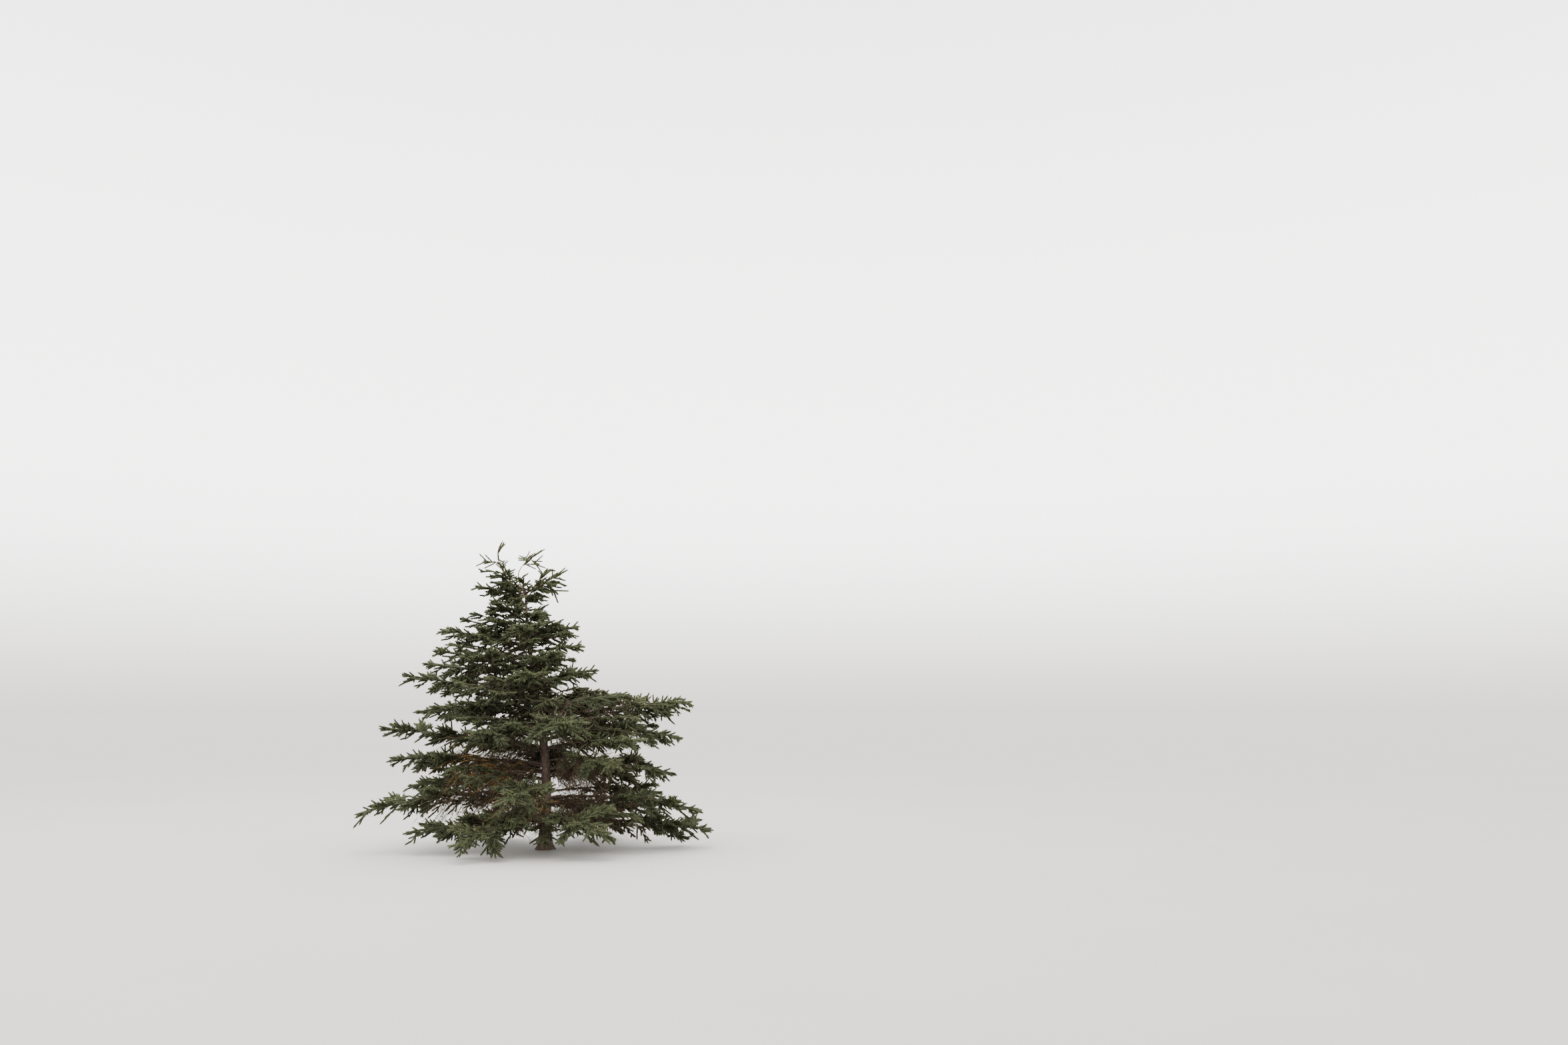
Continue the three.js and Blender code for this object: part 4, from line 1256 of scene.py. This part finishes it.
def brightness_order(shoots):
    """Where each shoot comes from 0, the dullest, to 1, the palest. Those at the outside and on the
    leaders are new growth and pale, and those on top of their bough and higher up are paler as painted
    light. Those near the trunk hold old needles and are dull, and those under their bough and low down
    are duller as painted shade."""
    tip = point_on(shoots, 1)
    shares = np.linspace(0, 1, NEAREST_POINTS)
    lines = np.stack([arm.point(shares) for arm in all_arms])[shoots["arm"]]
    nearest = np.linalg.norm(lines - tip[:, None], axis=2).argmin(axis=1)
    outer = shares[nearest] * np.where(shoots["arm"] >= len(main_arms), MINOR_OUTER, 1)
    above = tip[:, 2] - lines[np.arange(len(tip)), nearest, 2]
    by_leader = FRESHER_LEADER * on_leader + FRESHER_SLIM * (1 - shoots["thick"])
    by_arm = FRESHNESS_SWAY * sway(shoots["arm"], 0, 3) + by_leader
    # Painted light above the bough and higher up, painted shade below it and low down.
    by_height = PAINTED_LIGHT_ABOVE_BOUGH * above + PAINTED_LIGHT_HIGHER_UP * shoots["start"][:, 2]
    score = outer + by_arm + by_height + FRESHNESS_SWAY * random.standard_normal(len(outer))
    return np.argsort(np.argsort(score)) / len(outer)


shoots["open"] = in_the_open(shoots)
order = brightness_order(shoots)
waxy_needles = needle_group()
inner_paint = add_material("inner_needles", core_paint, **CORE_COLOURS)
shades = {name: add_material(f"{name}_needles", needle_paint, **row[1]) for name, row in SHADES.items()}
for tier, firsts in TIERS.items():
    members = [arm for arm in all_arms if arm.tier in firsts]
    nodes = [f"foliage_{arm.name}" for arm in members if arm in main_arms]
    in_tier = np.isin(shoots["arm"], [arm.index for arm in members])
    some = chosen(shoots, in_tier)
    cores = twig_shapes(some, CORE_PLACES, CORE_RADII, CORE_SIDES)
    inner = add_piece(f"inner_needles_{tier}", cores, inner_paint, nodes)
    directions = np.repeat(unit(some["step"]), len(cores[0]) // len(some["step"]), axis=0)
    give_attribute(inner, "direction", "FLOAT_VECTOR", "vector", directions)
    # Cores paler on new and lit shoots and on their upper side: partly painted light and shade.
    paleness = core_paleness(cores[0], lerp(*CORE_SHOOTS_PALE, order[in_tier]))
    give_attribute(inner, "paleness", "FLOAT", "value", paleness)
    below = 0.0
    for shade, (up_to, _) in SHADES.items():
        shape, paleness = needle_shapes(chosen(shoots, in_tier & (order >= below) & (order < up_to)))
        below = up_to
        outer = add_piece(f"needles_{tier}_{shade}", shape, shades[shade], nodes, smooth=False)
        give_attribute(outer, "paleness", "FLOAT", "value", paleness)

# Dead twigs
# Fine, brittle, drooping twigs on the shaded inner stretch of each bough, which lost their needles
# years ago. Some on the left of the lower boughs carry golden lichen.
DEAD_PER_METRE = {"low": 100, "skirt": 120, "waist": 112, "mid": 58, "broad": 46}
DEAD_PER_METRE_ABOVE = 26
DEAD_MATS = {
    "waist_left": 2.4,
    "waist_right": 2.0,
    "skirt_left": 1.7,
    "skirt_right": 1.6,
    "mid_left": 2.4,
    "mid_right": 1.5,
    "low_left": 1.5,
}
DEAD_BARE = 0.4
DEAD_FROM = 0.08
DEAD_PAST_BARE = 0.14
DEAD_ANGLES = (35, 85)
DEAD_ROLLS = (-75, 30)
DEAD_LENGTHS = (0.16, 0.46)
DEAD_LENGTH_SHARES = (0.3, 1)
DEAD_LENGTH_BY_ARM = 0.65
DEAD_LOWEST = 0.12
DEAD_PARTED = 0.85
DEAD_DROOP = (0.05, 0.30)
DEAD_PLACES = (0, 0.45, 0.9)
DEAD_RADII = (0.0030, 0.0013)
DEAD_FORKS = 5
DEAD_FORK_PLACES = (0.2, 0.95)
DEAD_FORK_ANGLES = (30, 65)
DEAD_FORK_SHARES = (0.2, 0.5)
DEAD_FORK_TILT = 0.6
DEAD_FORK_DROOP = 0.2
DEAD_FORK_THICK = 0.7
DEAD_FORK_RADIUS = 0.0036
DEAD_BARK = dict(
    light=(0.192, 0.129, 0.072, 1), dark=(0.072, 0.052, 0.032, 1), flakes=150, cover=0.5, bump=0.0006
)
GOLD = (0.520, 0.330, 0.090, 1)
GOLD_BARK = dict(
    light=GOLD, dark=(0.230, 0.145, 0.055, 1), lichen=GOLD, flakes=150, cover=1.0, bump=0.0008
)
GOLD_PLACES = np.array([[-0.30, -0.45, 0.81], [-0.92, -0.35, 0.40], [-0.77, -0.10, 1.06]])
GOLD_RADII = np.array([0.38, 0.32, 0.30])
GOLD_CHANCE = 0.42
TRUNK_BARE_HEIGHTS = (0.68, 1.12)
TRUNK_BARE_WIDTH = 0.09


def dead_twigs(arm):
    """Twigs off a bough's bare stretch, to its sides and downwards, each a drooping curve."""
    density = DEAD_PER_METRE.get(arm.tier, DEAD_PER_METRE_ABOVE)
    density *= DEAD_MATS.get("_".join(arm.name.split("_")[:2]), 1)
    bare = max(arm.bare, DEAD_BARE)
    count = int(density * bare * arm.length)
    share = random.uniform(DEAD_FROM, bare + DEAD_PAST_BARE, count)
    angle = random.uniform(*DEAD_ANGLES, count)
    roll = random.uniform(*DEAD_ROLLS, count)
    out = ways_off(arm, share, angle, roll, random.choice([-1, 1], (count, 1)))
    longest = np.clip(DEAD_LENGTH_BY_ARM * arm.length, *DEAD_LENGTH_SHARES)
    reach = random.uniform(*DEAD_LENGTHS, count)[:, None] * longest
    bend = -reach * random.uniform(*DEAD_DROOP, count)[:, None] * UP
    return shoots_of(arm.point(share), out * reach, bend, arm.index)


def dead_forks(twigs):
    """Finer twigs off the dead ones, to either side and drooping."""
    which, _ = numbered(np.full(len(twigs["start"]), DEAD_FORKS))
    count = len(which)
    twig = chosen(twigs, which)
    start = point_on(twig, random.uniform(*DEAD_FORK_PLACES, count)[:, None])
    forward = unit(twig["step"])
    sideways = unit(across_of(forward) + DEAD_FORK_TILT * wander(count))
    sideways = sideways * random.choice([-1, 1], (count, 1))
    angle = np.radians(random.uniform(*DEAD_FORK_ANGLES, count))[:, None]
    length = np.linalg.norm(twig["step"], axis=1, keepdims=True)
    reach = length * random.uniform(*DEAD_FORK_SHARES, count)[:, None]
    step = turned(angle, forward, sideways) * reach
    return shoots_of(start, step, -DEAD_FORK_DROOP * reach * UP, twig["arm"], DEAD_FORK_THICK)


def well_placed(shoots):
    """True for the shoots that stay off the ground and don't pass before the stretch of the trunk that
    shows bare at the front: no point of start, middle or tip is near its middle line there."""
    points = np.stack([point_on(shoots, t) for t in (0, 0.5, 1)])
    aside = points - trunk_centre(points[..., 2])
    low, high = TRUNK_BARE_HEIGHTS
    level = (points[..., 2] > low) & (points[..., 2] < high)
    before = level & (np.abs(aside[..., 0]) < TRUNK_BARE_WIDTH) & (aside[..., 1] < 0)
    return inside_solids(shoots) & (points[2, :, 2] > DEAD_LOWEST) & ~before.any(axis=0)


dead = gathered([dead_twigs(arm) for arm in boughs + minor_boughs])
dead = chosen(dead, well_placed(dead))
near_gold = np.any(np.linalg.norm(dead["start"][:, None] - GOLD_PLACES, axis=2) < GOLD_RADII, axis=1)
golden = near_gold & (random.uniform(0, 1, len(near_gold)) < GOLD_CHANCE)
lower = dead["start"][:, 2] < DEAD_PARTED
dead_bark = add_material("dead_twig_bark", bark_paint, **DEAD_BARK)
gold_bark = add_material("lichen_twig_bark", bark_paint, **GOLD_BARK)
kinds = [
    ("dead_twigs_lower", ~golden & lower, dead_bark),
    ("dead_twigs_upper", ~golden & ~lower, dead_bark),
    ("lichen_twigs", golden, gold_bark),
]
for name, picked, material in kinds:
    stems = chosen(dead, picked)
    finer = dead_forks(stems)
    finer = chosen(finer, well_placed(finer))
    stem_shapes = twig_shapes(stems, DEAD_PLACES, np.linspace(*DEAD_RADII, len(DEAD_PLACES)))
    shape = joined([stem_shapes, twig_shapes(finer, [0], [DEAD_FORK_RADIUS])])
    add_piece(name, shape, material)

# Floor, light and camera
# A plain pale floor in even light from all round, with a wide soft light overhead. The camera stands
# at eye height, fourteen metres in front of the tree.
FLOOR_SIZE = 400
FLOOR_PALE = (0.42, 0.405, 0.375, 1)
FLOOR_SHADE = (0.39, 0.375, 0.345, 1)
ROUND_HORIZON = (0.335, 0.318, 0.297, 1)
ROUND_BAND = (1.0, 0.99, 0.975, 1)
ROUND_ABOVE = (0.66, 0.66, 0.66, 1)
ROUND_STRENGTH = 5.2
OVERHEAD_POWER = 1800
OVERHEAD_SIZE = 12
OVERHEAD_PLACE = (-2.5, -1.5, 11)
CAMERA_LENS = 28
CAMERA_SENSOR = 36
CAMERA_PLACE = (0, -14.2106, 1.6)
CAMERA_PITCH = 8.459
CAMERA_YAW = 10.804


def floor_paint(tree):
    """A pale matt floor with faint broad patches."""
    patches = noise(tree, own_place(tree), scale=0.6, detail=3)
    return {"Base Color": mixed(tree, patches, FLOOR_PALE, FLOOR_SHADE), "Roughness": 0.9}


bpy.ops.mesh.primitive_plane_add(size=FLOOR_SIZE)
floor = bpy.context.object
floor.name = "floor"
floor.data.materials.append(add_material("floor_paint", floor_paint))

around = bpy.data.worlds.new("light_all_round")
around.use_nodes = True
air = around.node_tree
air.nodes.clear()
direction = add_node(air, "ShaderNodeTexCoord", {})["Generated"]
upward = add_node(air, "ShaderNodeSeparateXYZ", {"Vector": direction})["Z"]
band = mixed(air, stepped(air, upward, low=-0.02, high=0.17), ROUND_HORIZON, ROUND_BAND)
dome = mixed(air, stepped(air, upward, low=0.2, high=0.7), band, ROUND_ABOVE)
glow = add_node(air, "ShaderNodeBackground", {"Color": dome, "Strength": ROUND_STRENGTH})[0]
add_node(air, "ShaderNodeOutputWorld", {"Surface": glow})
bpy.context.scene.world = around

overhead = bpy.data.lights.new("overhead", "AREA")
overhead.energy = OVERHEAD_POWER
overhead.size = OVERHEAD_SIZE
add_object("overhead", overhead).location = OVERHEAD_PLACE

camera_data = bpy.data.cameras.new("camera")
camera_data.lens = CAMERA_LENS
camera_data.sensor_width = CAMERA_SENSOR
camera = add_object("camera", camera_data)
camera.location = CAMERA_PLACE
camera.rotation_euler = (math.radians(90 + CAMERA_PITCH), 0, math.radians(-CAMERA_YAW))
bpy.context.scene.camera = camera
